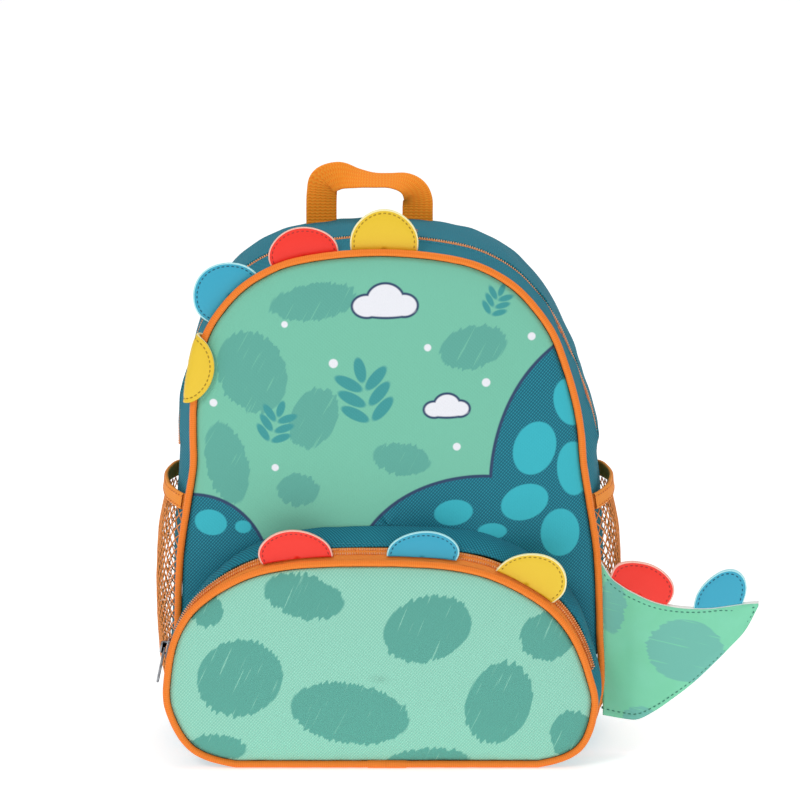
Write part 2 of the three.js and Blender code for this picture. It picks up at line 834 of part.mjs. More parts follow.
// A plate in the seam behind a piping, centred on a station of the outline.
function seamPlate(name, seam, station, size, look, way) {
  const { outline, placeAt, depth } = seam;
  const front = pipingRadius + 2 * clearance;
  const backShare = (plateThickness + 2 * clearance) / depth;
  const normal = outline.normal(station);
  const baseAt = (along) => {
    const s = station + along / outline.length;
    const place = placeAt(s, backShare, seam.seat);
    place.y = seam.depthAt(outline.at(s).z) + front + plateThickness / 2;
    return place;
  };
  addPiece(name, plateGeometry({
    baseAt,
    normal,
    width: size.wide * plateWidth,
    height: size.high * plateHeight,
    slant: size.slant,
    rise: way,
  }), look);
}

const mainSeam = {
  outline: arch,
  placeAt: gussetPlace,
  depth: bagDepth,
  depthAt: frontY,
  seat: clearance,
};
const pocketSeam = {
  outline: pocketArch,
  placeAt: pocketPlace,
  depth: pocketDepth,
  depthAt: pocketY,
  seat: tapeSunk + 2 * clearance,
};

// Sizes as shares of the plate's width and height; slant is to the left of an arch, or to the tail's tip.
const plateSizes = {
  mainYellow: { wide: 1, high: 1.06, slant: 0 },
  mainRed: { wide: 1.03, high: 0.78, slant: 0.1 },
  mainBlue: { wide: 1.03, high: 0.93, slant: 0.12 },
  mainFolded: { wide: 1.05, high: 1.04, slant: 0 },
  pocketRed: { wide: 1.06, high: 0.78, slant: 0.25 },
  pocketBlue: { wide: 1.04, high: 0.7, slant: -0.25 },
  pocketYellow: { wide: 0.98, high: 0.97, slant: -0.3 },
};
seamPlate('plate_main_yellow', mainSeam, 0.498, plateSizes.mainYellow, looks.yellow, standing(-0.06));
seamPlate('plate_main_red', mainSeam, 0.546, plateSizes.mainRed, looks.red, standing(-0.1));
seamPlate('plate_main_blue', mainSeam, 0.597, plateSizes.mainBlue, looks.blue, standing(-0.1));
seamPlate('plate_main_folded', mainSeam, 0.6465, plateSizes.mainFolded, looks.yellow, foldedOver(foldRadius));

seamPlate('plate_pocket_red', pocketSeam, 0.568, plateSizes.pocketRed, looks.red, standing(0.05));
seamPlate('plate_pocket_blue', pocketSeam, 0.4555, plateSizes.pocketBlue, looks.blue, standing(0.05));
seamPlate('plate_pocket_yellow', pocketSeam, 0.3575, plateSizes.pocketYellow, looks.yellow, standing(0.05));

// Tail.

// Sections of the tail from its seam to its tip, as shares of its length and rise.
const tailRows = [
  { out: 0, top: 1, bottom: 0.02, forward: 0 },
  { out: 0.06, top: 0.9, bottom: 0.01, forward: 0.02 },
  { out: 0.14, top: 0.835, bottom: 0, forward: 0.1 },
  { out: 0.22, top: 0.795, bottom: 0, forward: 0.24 },
  { out: 0.33, top: 0.75, bottom: 0.055, forward: 0.36 },
  { out: 0.45, top: 0.724, bottom: 0.14, forward: 0.46 },
  { out: 0.58, top: 0.715, bottom: 0.243, forward: 0.57 },
  { out: 0.7, top: 0.72, bottom: 0.357, forward: 0.68 },
  { out: 0.82, top: 0.74, bottom: 0.48, forward: 0.8 },
  { out: 0.93, top: 0.76, bottom: 0.61, forward: 0.92 },
  { out: 1, top: 0.767, bottom: 0.747, forward: 1 },
];

const tailTip = bagHalfWidth + tailLength;
const tailSeatY = frontY(tailBase + tailRise / 2) + pipingRadius + clearance + tailThickness / 2;

// A place on the middle of the tail: share of the length, share from its lower to its upper edge.
function tailPlace(out, up) {
  const value = (key) => readTable(tailRows.map((row) => ({ at: row.out, value: row[key] })), out);
  const z = tailBase + tailRise * lerp(value('bottom'), value('top'), up);
  const straight = 0.16 * bagHeight; // above the rounded lower corner
  const seam = gussetPlace(arch.stationAt(Math.max(z, straight), 1), 0.05, clearance).x;
  return new THREE.Vector3(lerp(seam, tailTip, out), tailSeatY - tailForward * value('forward'), z);
}

const tailLevels = [0, 0.3, 0.6, 0.85, 1];

function tailFace(out) {
  const way = tailPlace(Math.min(out + 0.02, 1), 0.5).sub(tailPlace(Math.max(out - 0.02, 0), 0.5));
  way.z = 0;
  way.normalize();
  return new THREE.Vector3(way.y, -way.x, 0);
}

const tailSkin = (side) => (i, j) =>
  tailPlace(tailRows[i].out, tailLevels[j])
    .addScaledVector(tailFace(tailRows[i].out), (side * tailThickness) / 2);

addPiece('tail', gridShell({
  columns: tailRows.length - 1,
  rows: tailLevels.length - 1,
  outer: tailSkin(1),
  inner: tailSkin(-1),
}), looks.tail);

// A plate on the tail's upper edge, centred on a share of the tail's length.
function tailPlate(name, centre, size, look) {
  const step = (size.wide * tailPlateWidth) / 2 / tailLength;
  const tangent = tailPlace(Math.min(centre + step, 1), 1).sub(tailPlace(centre - step, 1)).normalize();
  const normal = new THREE.Vector3(-tangent.z, 0, tangent.x).normalize();
  const baseAt = (along) => {
    const place = tailPlace(Math.min(Math.max(centre + (along * tangent.x) / tailLength, 0.01), 1), 1);
    place.z += tailPlateLift;
    return place;
  };
  addPiece(name, plateGeometry({
    baseAt,
    normal,
    width: size.wide * tailPlateWidth,
    height: size.high * tailPlateHeight,
    slant: size.slant,
    rise: standing(0.02),
  }), look);
}

tailPlate('plate_tail_red', 0.245, { wide: 1, high: 1, slant: 0 }, looks.red);
tailPlate('plate_tail_blue', 0.745, { wide: 0.78, high: 1.1, slant: 0.38 }, looks.blue);

// Mesh side pockets.

const netColumns = 6; // gaps from front to back
const netRows = 7; // gaps from bottom to top
const netShareFrom = 0.04;
const netShareTo = 0.96;

const bellyOf = (share) => Math.sin(Math.PI * Math.min(Math.max(share, 0), 1)) ** 0.65;
const pouchRows = [
  { at: 0, value: 0 },
  { at: 0.2, value: 0.5 },
  { at: 0.45, value: 0.92 },
  { at: 0.65, value: 1 },
  { at: 0.85, value: 0.86 },
  { at: 1, value: 0.62 },
  { at: 1.1, value: 0.55 },
];

// A place on the net: share from the front seam to the back seam, height, distance outwards.
function netPlace(side, depthShare, z, out) {
  const climb = (z - netBottom) / (netTop - netBottom);
  const stand = netStandOff * bellyOf(depthShare) * readTable(pouchRows, climb);
  const share = lerp(netShareFrom, netShareTo, depthShare);
  return gussetPlace(arch.stationAt(z, side), share, clearance + stand + out);
}

// Lines of a net: each gap lies between two strands of the given share.
function netLines(gaps, strand) {
  const lines = [0];
  for (let k = 0; k < gaps; k++) {
    lines.push(strand + (k * (1 - strand)) / gaps);
    lines.push(((k + 1) * (1 - strand)) / gaps);
  }
  lines.push(1);
  return lines;
}

for (const [label, side] of [['left', -1], ['right', 1]]) {
  const across = netLines(netColumns, netStrand / bagDepth);
  const upwards = netLines(netRows, netStrand / (netTop - netBottom));
  const heightOf = (share) => lerp(netBottom, netTop, share);
  addPiece(`net_${label}`, gridShell({
    columns: across.length - 1,
    rows: upwards.length - 1,
    outer: (i, j) => netPlace(side, across[i], heightOf(upwards[j]), netThickness),
    inner: (i, j) => netPlace(side, across[i], heightOf(upwards[j]), 0),
    filled: (i, j) => !(i % 2 === 1 && j % 2 === 1),
  }), looks.net);
  const bandColumns = 8;
  addPiece(`net_band_${label}`, gridShell({
    columns: bandColumns,
    rows: 1,
    outer: (i, j) => netPlace(side, i / bandColumns, netTop + clearance + j * bandHeight, bandThickness),
    inner: (i, j) => netPlace(side, i / bandColumns, netTop + clearance + j * bandHeight, 0),
  }), looks.webbing);
}

// Top handle.

// Middle line of the handle: out as a share of half the span, up as a share of the rise.
const handleRows = [
  { out: -1, up: 0, flat: 0 },
  { out: -1, up: 0.35, flat: 0 },
  { out: -0.99, up: 0.62, flat: 0.08 },
  { out: -0.95, up: 0.86, flat: 0.22 },
  { out: -0.66, up: 1, flat: 0.46 },
  { out: -0.25, up: 0.95, flat: 0.85 },
  { out: 0.1, up: 0.9, flat: 1 },
  { out: 0.42, up: 0.89, flat: 1 },
  { out: 0.72, up: 0.83, flat: 0.8 },
  { out: 0.93, up: 0.64, flat: 0.45 },
  { out: 1, up: 0.4, flat: 0.12 },
  { out: 1, up: 0.2, flat: 0 },
  { out: 1, up: 0, flat: 0 },
];

const handleTurn = THREE.MathUtils.degToRad(-74); // the grip lies nearly flat, its front edge lower
const handleX = archLean + handleShift;
const handleY = backY - webbingThickness - clearance;

// Height of the gusset's back edge at a place left or right of the middle.
function topHeightAt(x) {
  let low = 0.35;
  let high = 0.65;
  for (let k = 0; k < 40; k++) {
    const s = (low + high) / 2;
    if (gussetPlace(s, 1).x > x) low = s;
    else high = s;
  }
  return gussetPlace(low, 1).z;
}

function handleStations() {
  const middle = (row) => {
    const side = row.out < 0 ? -1 : 1;
    const foot = topHeightAt(handleX + side * (handleSpan - webbing) / 2) + clearance;
    const top = bagHeight + handleRise;
    return new THREE.Vector3(handleX + (row.out * handleSpan) / 2, handleY, lerp(foot, top, row.up));
  };
  const places = handleRows.map(middle);
  return handleRows.map((row, k) => {
    const before = places[Math.max(k - 1, 0)];
    const after = places[Math.min(k + 1, places.length - 1)];
    const along = after.clone().sub(before).normalize();
    const flatAcross = new THREE.Vector3(along.z, 0, -along.x);
    const turn = handleTurn * row.flat;
    const across = flatAcross.multiplyScalar(Math.cos(turn)).add(new THREE.Vector3(0, Math.sin(turn), 0));
    const face = new THREE.Vector3().crossVectors(along, across);
    return { place: places[k], across, face };
  });
}

addPiece('top_handle', ribbon(handleStations(), webbing, webbingThickness), looks.webbing);

// Shoulder straps, lower webbings and adjusters on the back.

// Middle line of a strap: down as a share of the drop, out of the spread, away of the bow.
const strapRows = [
  { down: 0, out: 0, away: 0, wide: 1 },
  { down: 0.05, out: 0, away: 0.02, wide: 1 },
  { down: 0.14, out: 0.03, away: 0.42, wide: 1 },
  { down: 0.26, out: 0.12, away: 0.8, wide: 1 },
  { down: 0.4, out: 0.28, away: 1, wide: 1 },
  { down: 0.55, out: 0.48, away: 1.04, wide: 0.98 },
  { down: 0.7, out: 0.68, away: 0.98, wide: 0.94 },
  { down: 0.85, out: 0.86, away: 0.86, wide: 0.88 },
  { down: 0.95, out: 0.96, away: 0.77, wide: 0.8 },
  { down: 1, out: 1, away: 0.72, wide: 0.6 },
];

// Outside of the back panel at a place of the x, z plane, the highest over a width.
function backSeat(x, z, width) {
  const faces = [-0.5, 0, 0.5].map((share) =>
    backFaceAt(shareTo(backOutline, panelMiddle, x + share * width, z)));
  return Math.max(...faces) + clearance;
}

function strapStations(side, anchor) {
  const places = strapRows.map((row) => {
    const x = side * (strapTopX + strapSpread * row.out);
    const z = strapTop - strapDrop * row.down;
    const y = backSeat(x, z, strapWidth) + strapPadding / 2 + strapBow * row.away;
    return new THREE.Vector3(x, y, z);
  });
  return places.map((place, k) => {
    const before = k + 1 < places.length ? places[Math.max(k - 1, 0)] : place;
    const after = places[k + 1] ?? anchor;
    const along = after.clone().sub(before).normalize();
    const across = new THREE.Vector3(1, 0, 0).addScaledVector(along, -along.x).normalize();
    const face = new THREE.Vector3().crossVectors(along, across).normalize();
    return { place, along, across, face, wide: strapRows[k].wide };
  });
}

// A padded strap with rounded long edges.
function strapGeometry(stations) {
  const rim = [
    [-1, 0], [-0.9, -0.75], [-0.6, -1], [0.6, -1], [0.9, -0.75],
    [1, 0], [0.9, 0.75], [0.6, 1], [-0.6, 1], [-0.9, 0.75],
  ];
  return skin(stations.map(({ place, across, face, wide }) => rim.map(([side, up]) =>
    place.clone()
      .addScaledVector(across, (side * strapWidth * wide) / 2)
      .addScaledVector(face, (up * strapPadding) / 2))));
}

// A band in the plane of along and face, through a list of places given in that plane.
function planeBand({ origin, along, across, face, path, width, thickness }) {
  const places = path.map(([t, n]) =>
    origin.clone().addScaledVector(along, t).addScaledVector(face, n));
  const stations = places.map((place, k) => {
    const before = places[Math.max(k - 1, 0)];
    const after = places[Math.min(k + 1, places.length - 1)];
    const way = after.clone().sub(before).normalize();
    return { place, across, face: new THREE.Vector3().crossVectors(way, across).normalize() };
  });
  return ribbon(stations, width, thickness);
}

function adjusterGeometry() {
  const length = 2 * adjusterBar + adjusterMiddleBar + 2 * adjusterSlot;
  const half = lowerWebbing / 2 + clearance + adjusterBar;
  const frame = new THREE.Shape();
  const corner = adjusterBar / 2;
  frame.moveTo(corner, -half);
  frame.lineTo(length - corner, -half);
  frame.lineTo(length, -half + corner);
  frame.lineTo(length, half - corner);
  frame.lineTo(length - corner, half);
  frame.lineTo(corner, half);
  frame.lineTo(0, half - corner);
  frame.lineTo(0, -half + corner);
  frame.closePath();
  const geometry = new THREE.ExtrudeGeometry(frame, { depth: adjusterThickness, bevelEnabled: false });
  geometry.translate(0, 0, -adjusterThickness / 2);
  let body = toManifold(geometry);
  for (const start of [adjusterBar, adjusterBar + adjusterSlot + adjusterMiddleBar]) {
    const slot = new THREE.BoxGeometry(adjusterSlot, lowerWebbing + 2 * clearance, 2 * adjusterThickness);
    slot.translate(start + adjusterSlot / 2, 0, 0);
    body = body.subtract(toManifold(slot));
  }
  return fromManifold(body);
}

for (const [label, side] of [['left', -1], ['right', 1]]) {
  const near = adjusterThickness / 2 + clearance + lowerWebbingThickness / 2;
  const far = near + lowerWebbingThickness + clearance;
  const anchorY = backSeat(side * anchorX, anchorHeight, lowerWebbing) + lowerWebbingThickness + far;
  const anchor = new THREE.Vector3(side * anchorX, anchorY, anchorHeight);
  const stations = strapStations(side, anchor);
  addPiece(`shoulder_strap_${label}`, strapGeometry(stations), looks.teal);
  const end = stations[stations.length - 1].place;
  const along = anchor.clone().sub(end).normalize();
  const across = new THREE.Vector3(1, 0, 0).addScaledVector(along, -along.x).normalize();
  const face = new THREE.Vector3().crossVectors(across, along).normalize();
  if (face.y < 0) face.negate();
  const start = loopLength;
  const frame = { origin: end, along, across, face };
  const turnIn = start + adjusterBar + clearance + lowerWebbingThickness / 2;
  addPiece(`strap_loop_${label}`, planeBand({
    ...frame,
    path: [
      [clearance, near],
      [turnIn / 2, near],
      [turnIn - webbingBend, near],
      [turnIn, near - webbingBend],
      [turnIn, 0],
      [turnIn, -near + webbingBend],
      [turnIn - webbingBend, -near],
      [turnIn / 2, -near],
      [clearance, -near],
    ],
    width: lowerWebbing,
    thickness: lowerWebbingThickness,
  }), looks.teal);
  const adjuster = addPiece(`strap_adjuster_${label}`, adjusterGeometry(), looks.plastic);
  adjuster.position.copy(end).addScaledVector(along, start);
  const basis = new THREE.Matrix4().makeBasis(along, new THREE.Vector3().crossVectors(face, along), face);
  adjuster.quaternion.setFromRotationMatrix(basis);
  const barFrom = start + adjusterBar + adjusterSlot;
  const barTo = barFrom + adjusterMiddleBar;
  const round = clearance + lowerWebbingThickness / 2;
  const reach = anchor.distanceTo(end);
  addPiece(`lower_webbing_${label}`, planeBand({
    ...frame,
    path: [
      [reach, -far],
      [barTo + webbingRunIn, -far],
      [barFrom + 2 * webbingBend, -far],
      [barFrom - round + webbingBend, -far + webbingBend],
      [barFrom - round, -far + 3 * webbingBend],
      [barFrom - round, 0],
      [barFrom - round, near - webbingBend],
      [barFrom - round + webbingBend, near],
      [barTo + round - webbingBend, near],
      [barTo + round, near - webbingBend],
      [barTo + round, 0],
      [barTo + round, -near + webbingBend],
      [barTo + round + webbingBend, -near],
      [barTo + webbingRunIn, -near],
      [barTo + freeEnd, -near],
    ],
    width: lowerWebbing,
    thickness: lowerWebbingThickness,
  }), looks.teal);
}

export default bag;
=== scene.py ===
import math

import bmesh
import bpy
import numpy as np
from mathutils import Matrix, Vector


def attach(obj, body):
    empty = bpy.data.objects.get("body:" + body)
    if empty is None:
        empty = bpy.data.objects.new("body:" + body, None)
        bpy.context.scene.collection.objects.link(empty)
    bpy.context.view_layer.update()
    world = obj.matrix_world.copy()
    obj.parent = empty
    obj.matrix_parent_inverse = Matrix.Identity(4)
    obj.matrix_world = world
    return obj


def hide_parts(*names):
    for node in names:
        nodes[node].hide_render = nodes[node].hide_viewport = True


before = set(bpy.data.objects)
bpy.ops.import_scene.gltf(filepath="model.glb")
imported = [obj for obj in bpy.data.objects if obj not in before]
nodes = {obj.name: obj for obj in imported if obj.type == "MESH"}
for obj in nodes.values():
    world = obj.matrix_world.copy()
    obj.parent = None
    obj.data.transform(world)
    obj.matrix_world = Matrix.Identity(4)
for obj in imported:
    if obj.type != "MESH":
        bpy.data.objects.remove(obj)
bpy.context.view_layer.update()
scene = bpy.context.scene
mm = 0.001

# The camera looks straight at the front, a little from above, from far enough for a calm perspective.
cameraSettings = {"aim": (0.0070, -0.045, 0.2275), "distance": 5.0, "elevation": 14.5, "azimuth": 0.0,
                  "lens": 365.0}


def placeCamera(settings):
    data = bpy.data.cameras.new("camera")
    data.lens = settings["lens"]
    data.sensor_width = 36
    data.clip_end = 50
    camera = bpy.data.objects.new("camera", data)
    scene.collection.objects.link(camera)
    up, turn = math.radians(settings["elevation"]), math.radians(settings["azimuth"])
    back = Vector((math.sin(turn) * math.cos(up), -math.cos(turn) * math.cos(up), math.sin(up)))
    camera.location = Vector(settings["aim"]) + back * settings["distance"]
    camera.rotation_mode = "QUATERNION"
    camera.rotation_quaternion = (-back).to_track_quat("-Z", "Y")
    scene.camera = camera


placeCamera(cameraSettings)
scene.view_settings.view_transform = "Standard"
print("camera placed")


# Small helpers for nodes, colours and meshes.

def hexColor(text):
    parts = [int(text[k:k + 2], 16) / 255 for k in (1, 3, 5)]
    return tuple(p / 12.92 if p <= 0.04045 else ((p + 0.055) / 1.055) ** 2.4 for p in parts) + (1.0,)


def addNode(tree, kind, inputs=(), **settings):
    # Adds one node and fills its inputs; a node given as an input is linked by its live output.
    node = tree.nodes.new(kind if "Node" in kind else "ShaderNode" + kind)
    for key, value in settings.items():
        setattr(node, key, value)
    for key, value in inputs.items() if isinstance(inputs, dict) else enumerate(inputs):
        if isinstance(value, bpy.types.Node):
            value = next(socket for socket in value.outputs if socket.enabled)
        if isinstance(value, bpy.types.NodeSocket):
            tree.links.new(value, node.inputs[key])
        else:
            node.inputs[key].default_value = value
    return node


def newMaterial(name):
    material = bpy.data.materials.new(name)
    material.use_nodes = True
    tree = material.node_tree
    return material, tree, tree.nodes["Principled BSDF"]


def softNoise(x, y, size, seed=0):
    # A smooth wavy value from -1 to 1, the same on every run; size is the wave length, in the units of x.
    total = 0
    for k in range(7):
        turn = seed * 1.7 + k * 2.399
        reach = 2 * math.pi / (size * (0.75 + 0.17 * k))
        total = total + np.sin((x * math.cos(turn) + y * math.sin(turn)) * reach + seed * 3.1 + k * 1.3)
    return total / 4.2


def unitRows(vectors):
    return vectors / np.linalg.norm(vectors, axis=-1, keepdims=True)


def signedPower(value, power):
    return np.sign(value) * np.abs(value) ** power


def meshObject(name, points, faces, material, uv=None):
    mesh = bpy.data.meshes.new(name)
    mesh.from_pydata((np.asarray(points).reshape(-1, 3) * mm).tolist(), [], [tuple(f) for f in faces])
    mesh.validate()
    for entry in material if isinstance(material, list) else [material]:
        mesh.materials.append(entry)
    mesh.shade_smooth()
    piece = bpy.data.objects.new(name, mesh)
    scene.collection.objects.link(piece)
    if uv is not None:
        layer = mesh.uv_layers.new(name="cloth")
        index = np.zeros(len(mesh.loops), np.int32)
        mesh.loops.foreach_get("vertex_index", index)
        layer.data.foreach_set("uv", np.asarray(uv, float).reshape(-1, 2)[index].ravel())
    return piece


def gridFaces(across, along, wrap=False, first=0):
    faces = []
    for i in range(across if wrap else across - 1):
        ahead = (i + 1) % across
        for j in range(along - 1):
            faces.append((first + i * along + j, first + ahead * along + j,
                          first + ahead * along + j + 1, first + i * along + j + 1))
    return faces


def clothGrid(name, grid, material, uv, thickness, outward, wrap=False, body="bag"):
    # grid[i, j] are places in mm; outward is a vector per place that tells the cloth's right side.
    across, along = grid.shape[:2]
    faces = gridFaces(across, along, wrap)
    a, b, c, d = (grid.reshape(-1, 3)[[f[k] for f in faces]] for k in range(4))
    facing = np.einsum("ij,ij->i", np.cross(c - a, d - b), outward.reshape(-1, 3)[[f[0] for f in faces]])
    if facing.sum() < 0:
        faces = [f[::-1] for f in faces]
    piece = meshObject(name, grid, faces, material, uv)
    if thickness:
        wall = piece.modifiers.new("wall", "SOLIDIFY")
        wall.thickness = thickness * mm
        wall.offset = -1
        wall.use_even_offset = False
    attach(piece, body)
    return piece


def recalcOutwards(piece):
    shape = bmesh.new()
    shape.from_mesh(piece.data)
    bmesh.ops.remove_doubles(shape, verts=shape.verts, dist=1e-6)
    bmesh.ops.recalc_face_normals(shape, faces=shape.faces)
    shape.to_mesh(piece.data)
    shape.free()
    piece.data.shade_smooth()


# Sizes of the bag, in mm, as the solids have them.

bag = {"height": 320, "half": 131, "depth": 90, "taper": 4, "lean": -6, "crown": 10, "bulge": 10,
       "piping": 2.2, "gap": 0.3, "cloth": 2, "footFront": 0.11, "footBack": 0.04}
pocket = {"height": 132, "half": 132, "depth": 32, "shift": -6.5, "lean": -12, "lift": 0.6, "rise": 18,
          "crown": 9, "bulge": 3.5}

archRows = [(0, 0), (0.4, 0), (0.73, 0), (0.92, 0.03), (1, 0.11), (1, 0.245), (0.985, 0.4), (0.95, 0.5),
            (0.921, 0.578), (0.914, 0.647), (0.9, 0.703), (0.866, 0.772), (0.815, 0.838), (0.738, 0.888),
            (0.632, 0.934), (0.473, 0.972), (0.3, 0.99), (0, 1)]
pocketRows = [(0, 0), (0.4, 0), (0.71, 0), (0.91, 0.08), (1, 0.285), (0.985, 0.45), (0.935, 0.62),
              (0.853, 0.75), (0.722, 0.857), (0.55, 0.943), (0.38, 0.982), (0.19, 0.997), (0, 1)]


def smoothStep(low, high, value):
    share = np.clip((value - low) / (high - low), 0, 1)
    return share * share * (3 - 2 * share)


def curvePart(points, steps):
    # The centripetal curve from the second to the third of four points, without its end.
    p0, p1, p2, p3 = points
    d0, d1, d2 = (max(np.linalg.norm(b - a), 1e-6) ** 0.5 for a, b in ((p0, p1), (p1, p2), (p2, p3)))
    t1 = ((p1 - p0) / d0 - (p2 - p0) / (d0 + d1) + (p2 - p1) / d1) * d1
    t2 = ((p2 - p1) / d1 - (p3 - p1) / (d1 + d2) + (p3 - p2) / d2) * d1
    t = np.linspace(0, 1, steps, endpoint=False)[:, None]
    return p1 + t1 * t + (3 * (p2 - p1) - 2 * t1 - t2) * t ** 2 + (2 * (p1 - p2) + t1 + t2) * t ** 3


outlineSettings = {"steps": 40, "samples": 2400, "calm": 9, "poleMargin": 60}


class Outline:
    # A closed line in the x, z plane through rows of (out, up) shares. It starts at the middle of the base.
    def __init__(self, rows, half, base, height, leanAt, shift=0.0):
        right = [(shift + out * half + leanAt(up), base + up * (height - base)) for out, up in rows]
        left = [(shift - out * half + leanAt(up), base + up * (height - base))
                for out, up in rows[1:-1][::-1]]
        corners = np.array(right + left, float)
        count = len(corners)
        line = np.vstack([curvePart([corners[(k + step) % count] for step in (-1, 0, 1, 2)],
                                    outlineSettings["steps"]) for k in range(count)])
        line[:, 1] = np.maximum(line[:, 1], base)
        line = np.vstack([line, line[:1]])
        reach = np.concatenate([[0], np.cumsum(np.linalg.norm(np.diff(line, axis=0), axis=1))])
        self.length = reach[-1]
        self.share = np.linspace(0, 1, outlineSettings["samples"], endpoint=False)
        self.x = np.interp(self.share * self.length, reach, line[:, 0])
        self.z = np.interp(self.share * self.length, reach, line[:, 1])
        wide = outlineSettings["calm"]  # a short running mean keeps the direction calm at the rows
        ahead = lambda v: sum(np.roll(v, -k) - np.roll(v, k) for k in range(1, wide))
        dx, dz = ahead(self.x), ahead(self.z)
        size = np.hypot(dx, dz)
        self.nx, self.nz = dz / size, -dx / size

    def at(self, s):
        s = np.mod(s, 1)
        pick = lambda v: np.interp(s, np.append(self.share, 1), np.append(v, v[0]))
        return pick(self.x), pick(self.z), pick(self.nx), pick(self.nz)

    def station(self, z, side):
        samples, margin = outlineSettings["samples"], outlineSettings["poleMargin"]
        half = slice(margin, samples // 2) if side > 0 else slice(samples // 2, samples - margin)
        values, shares = self.z[half], self.share[half]
        order = np.argsort(values)
        return np.interp(z, values[order], shares[order])


arch = Outline(archRows, bag["half"], bag["piping"], bag["height"],
               lambda up: bag["lean"] * float(smoothStep(0.55, 0.9, up)))
pocketArch = Outline(pocketRows, pocket["half"], pocket["lift"] + bag["piping"], pocket["height"],
                     lambda up: pocket["lean"] * (up - 0.45), pocket["shift"])
pocketFoot = Outline(pocketRows, bag["half"] - bag["piping"], pocket["lift"] + bag["piping"],
                     pocket["height"] + pocket["rise"], lambda up: 0.4 * pocket["lean"] * (up - 0.45))


def smoothTable(rows, at):
    # Cubic through the rows, flat past the ends.
    keys, values = np.array(rows, float).T
    slope = np.gradient(values, keys)
    at = np.clip(np.asarray(at, float), keys[0], keys[-1])
    k = np.clip(np.searchsorted(keys, at, side="right") - 1, 0, len(keys) - 2)
    gap = keys[k + 1] - keys[k]
    t = (at - keys[k]) / gap
    return ((2 * t ** 3 - 3 * t ** 2 + 1) * values[k] + (t ** 3 - 2 * t ** 2 + t) * gap * slope[k]
            + (3 * t ** 2 - 2 * t ** 3) * values[k + 1] + (t ** 3 - t ** 2) * gap * slope[k + 1])


bulgeRows = [(0, 0.3), (0.1, 0.4), (0.4, 0.45), (0.52, 0.75), (0.6, 0.95), (0.67, 0.8), (0.74, 0.52),
             (0.84, 0.3), (1, 0.34)]
depthRows = [(0, 0), (0.12, 0.5), (0.27, 0.92), (0.4, 1), (0.8, 1), (1, 0.7)]


def frontY(z):
    return -bag["depth"] / 2 + bag["taper"] * (z / bag["height"]) ** 2


backY = bag["depth"] / 2


def gussetPlace(s, share, out=0.0):
    x, z, nx, nz = arch.at(s)
    down = np.maximum(0, -nz) ** 4
    swell = bag["bulge"] * smoothTable(bulgeRows, z / bag["height"]) * (1 - down) + bag["piping"] * down
    sag = np.minimum(1, np.minimum(share / bag["footFront"], (1 - share) / bag["footBack"]))
    reach = swell * (smoothTable(depthRows, share) * (1 - down) + sag * down) + out
    front = frontY(z) + bag["piping"] + bag["gap"]
    y = front + (backY - front) * share
    return np.stack([x + nx * reach, y + 0 * reach, np.maximum(z + nz * reach, 0)], -1)


def normalAt(outline, s):
    x, z, nx, nz = outline.at(s)
    return np.stack([nx, 0 * nx, nz], -1)


print("outlines ready")

# Finishes. A Mix node's colour inputs are 6 and 7, its share is 0.

# tealLight and tealDark, mintLight and mintDark are one cloth each: lighter thread tops and painted shade
# in the gaps between the threads
colors = {"tealLight": "#2D9CB0", "tealDark": "#125C70", "field": "#7AC6AC", "fieldSpot": "#62AE9F",
          "leaf": "#429C9D", "mintLight": "#AAE2CE", "mintDark": "#89CEB8", "mintSpot": "#5FAA9C",
          "pebble": "#3BB9C8", "navy": "#33496B", "white": "#F0F1F8", "tail": "#7BD6AC",
          "tailSpot": "#6FC0AF", "whiteEdge": "#F3F3EF"}
leatherColors = {"red": ("#FB3426", "#FFC4B4"), "yellow": ("#F0C92C", "#FFF6BC"),
                 "blue": ("#33A9C8", "#B6F0F6")}
threadColors = {"red": "#B92E28", "yellow": "#B08C12", "blue": "#14617B", "teal": "#3A93A5",
                "orange": "#C9641A", "green": "#3F8A74"}


# Pitch of the thread rows in mm and their slant in degrees.
weave = {"cloth": 1.5, "print": 1.4, "turn": -40}


def weaveHeight(tree, where, pitch, turn):
    # Thread tops in slanting rows, 0 between them and 1 on top; where is in metres, pitch in mm.
    size = pitch / (2 * math.pi * 1000)
    turned = addNode(tree, "Mapping", {"Vector": where, "Rotation": (0, 0, math.radians(turn)),
                                       "Scale": (size, 1.25 * size, size)}, vector_type="TEXTURE")
    split = addNode(tree, "SeparateXYZ", [turned])
    rows = addNode(tree, "Math", [split.outputs[0]], operation="SINE")
    beads = addNode(tree, "Math", [split.outputs[1]], operation="SINE")
    rows = addNode(tree, "MapRange", [rows, -1, 1, 0, 1])
    beads = addNode(tree, "MapRange", [beads, -1, 1, 0.35, 1])
    return addNode(tree, "Math", [rows, beads], operation="MULTIPLY")


def frontPlace(tree):
    # x and z of the object as a flat drawing, in metres.
    split = addNode(tree, "SeparateXYZ", [addNode(tree, "TexCoord").outputs["Object"]])
    return addNode(tree, "CombineXYZ", [split.outputs[0], split.outputs[2]])


def clothMaterial(name, color, height, distance, roughness, sheen=0.04):
    # Gives a cloth its shader values; color and height are made by functions of the tree.
    material, tree, shader = newMaterial(name)
    shader.inputs["Roughness"].default_value = roughness
    shader.inputs["Sheen Weight"].default_value = sheen
    shader.inputs["Sheen Roughness"].default_value = 0.5
    shader.inputs["Specular IOR Level"].default_value = 0.2
    relief = height(tree)
    tree.links.new(color(tree, relief).outputs[2], shader.inputs["Base Color"])
    bump = addNode(tree, "Bump", {"Height": relief, "Strength": 0.7, "Distance": distance * mm})
    tree.links.new(bump.outputs[0], shader.inputs["Normal"])
    return material


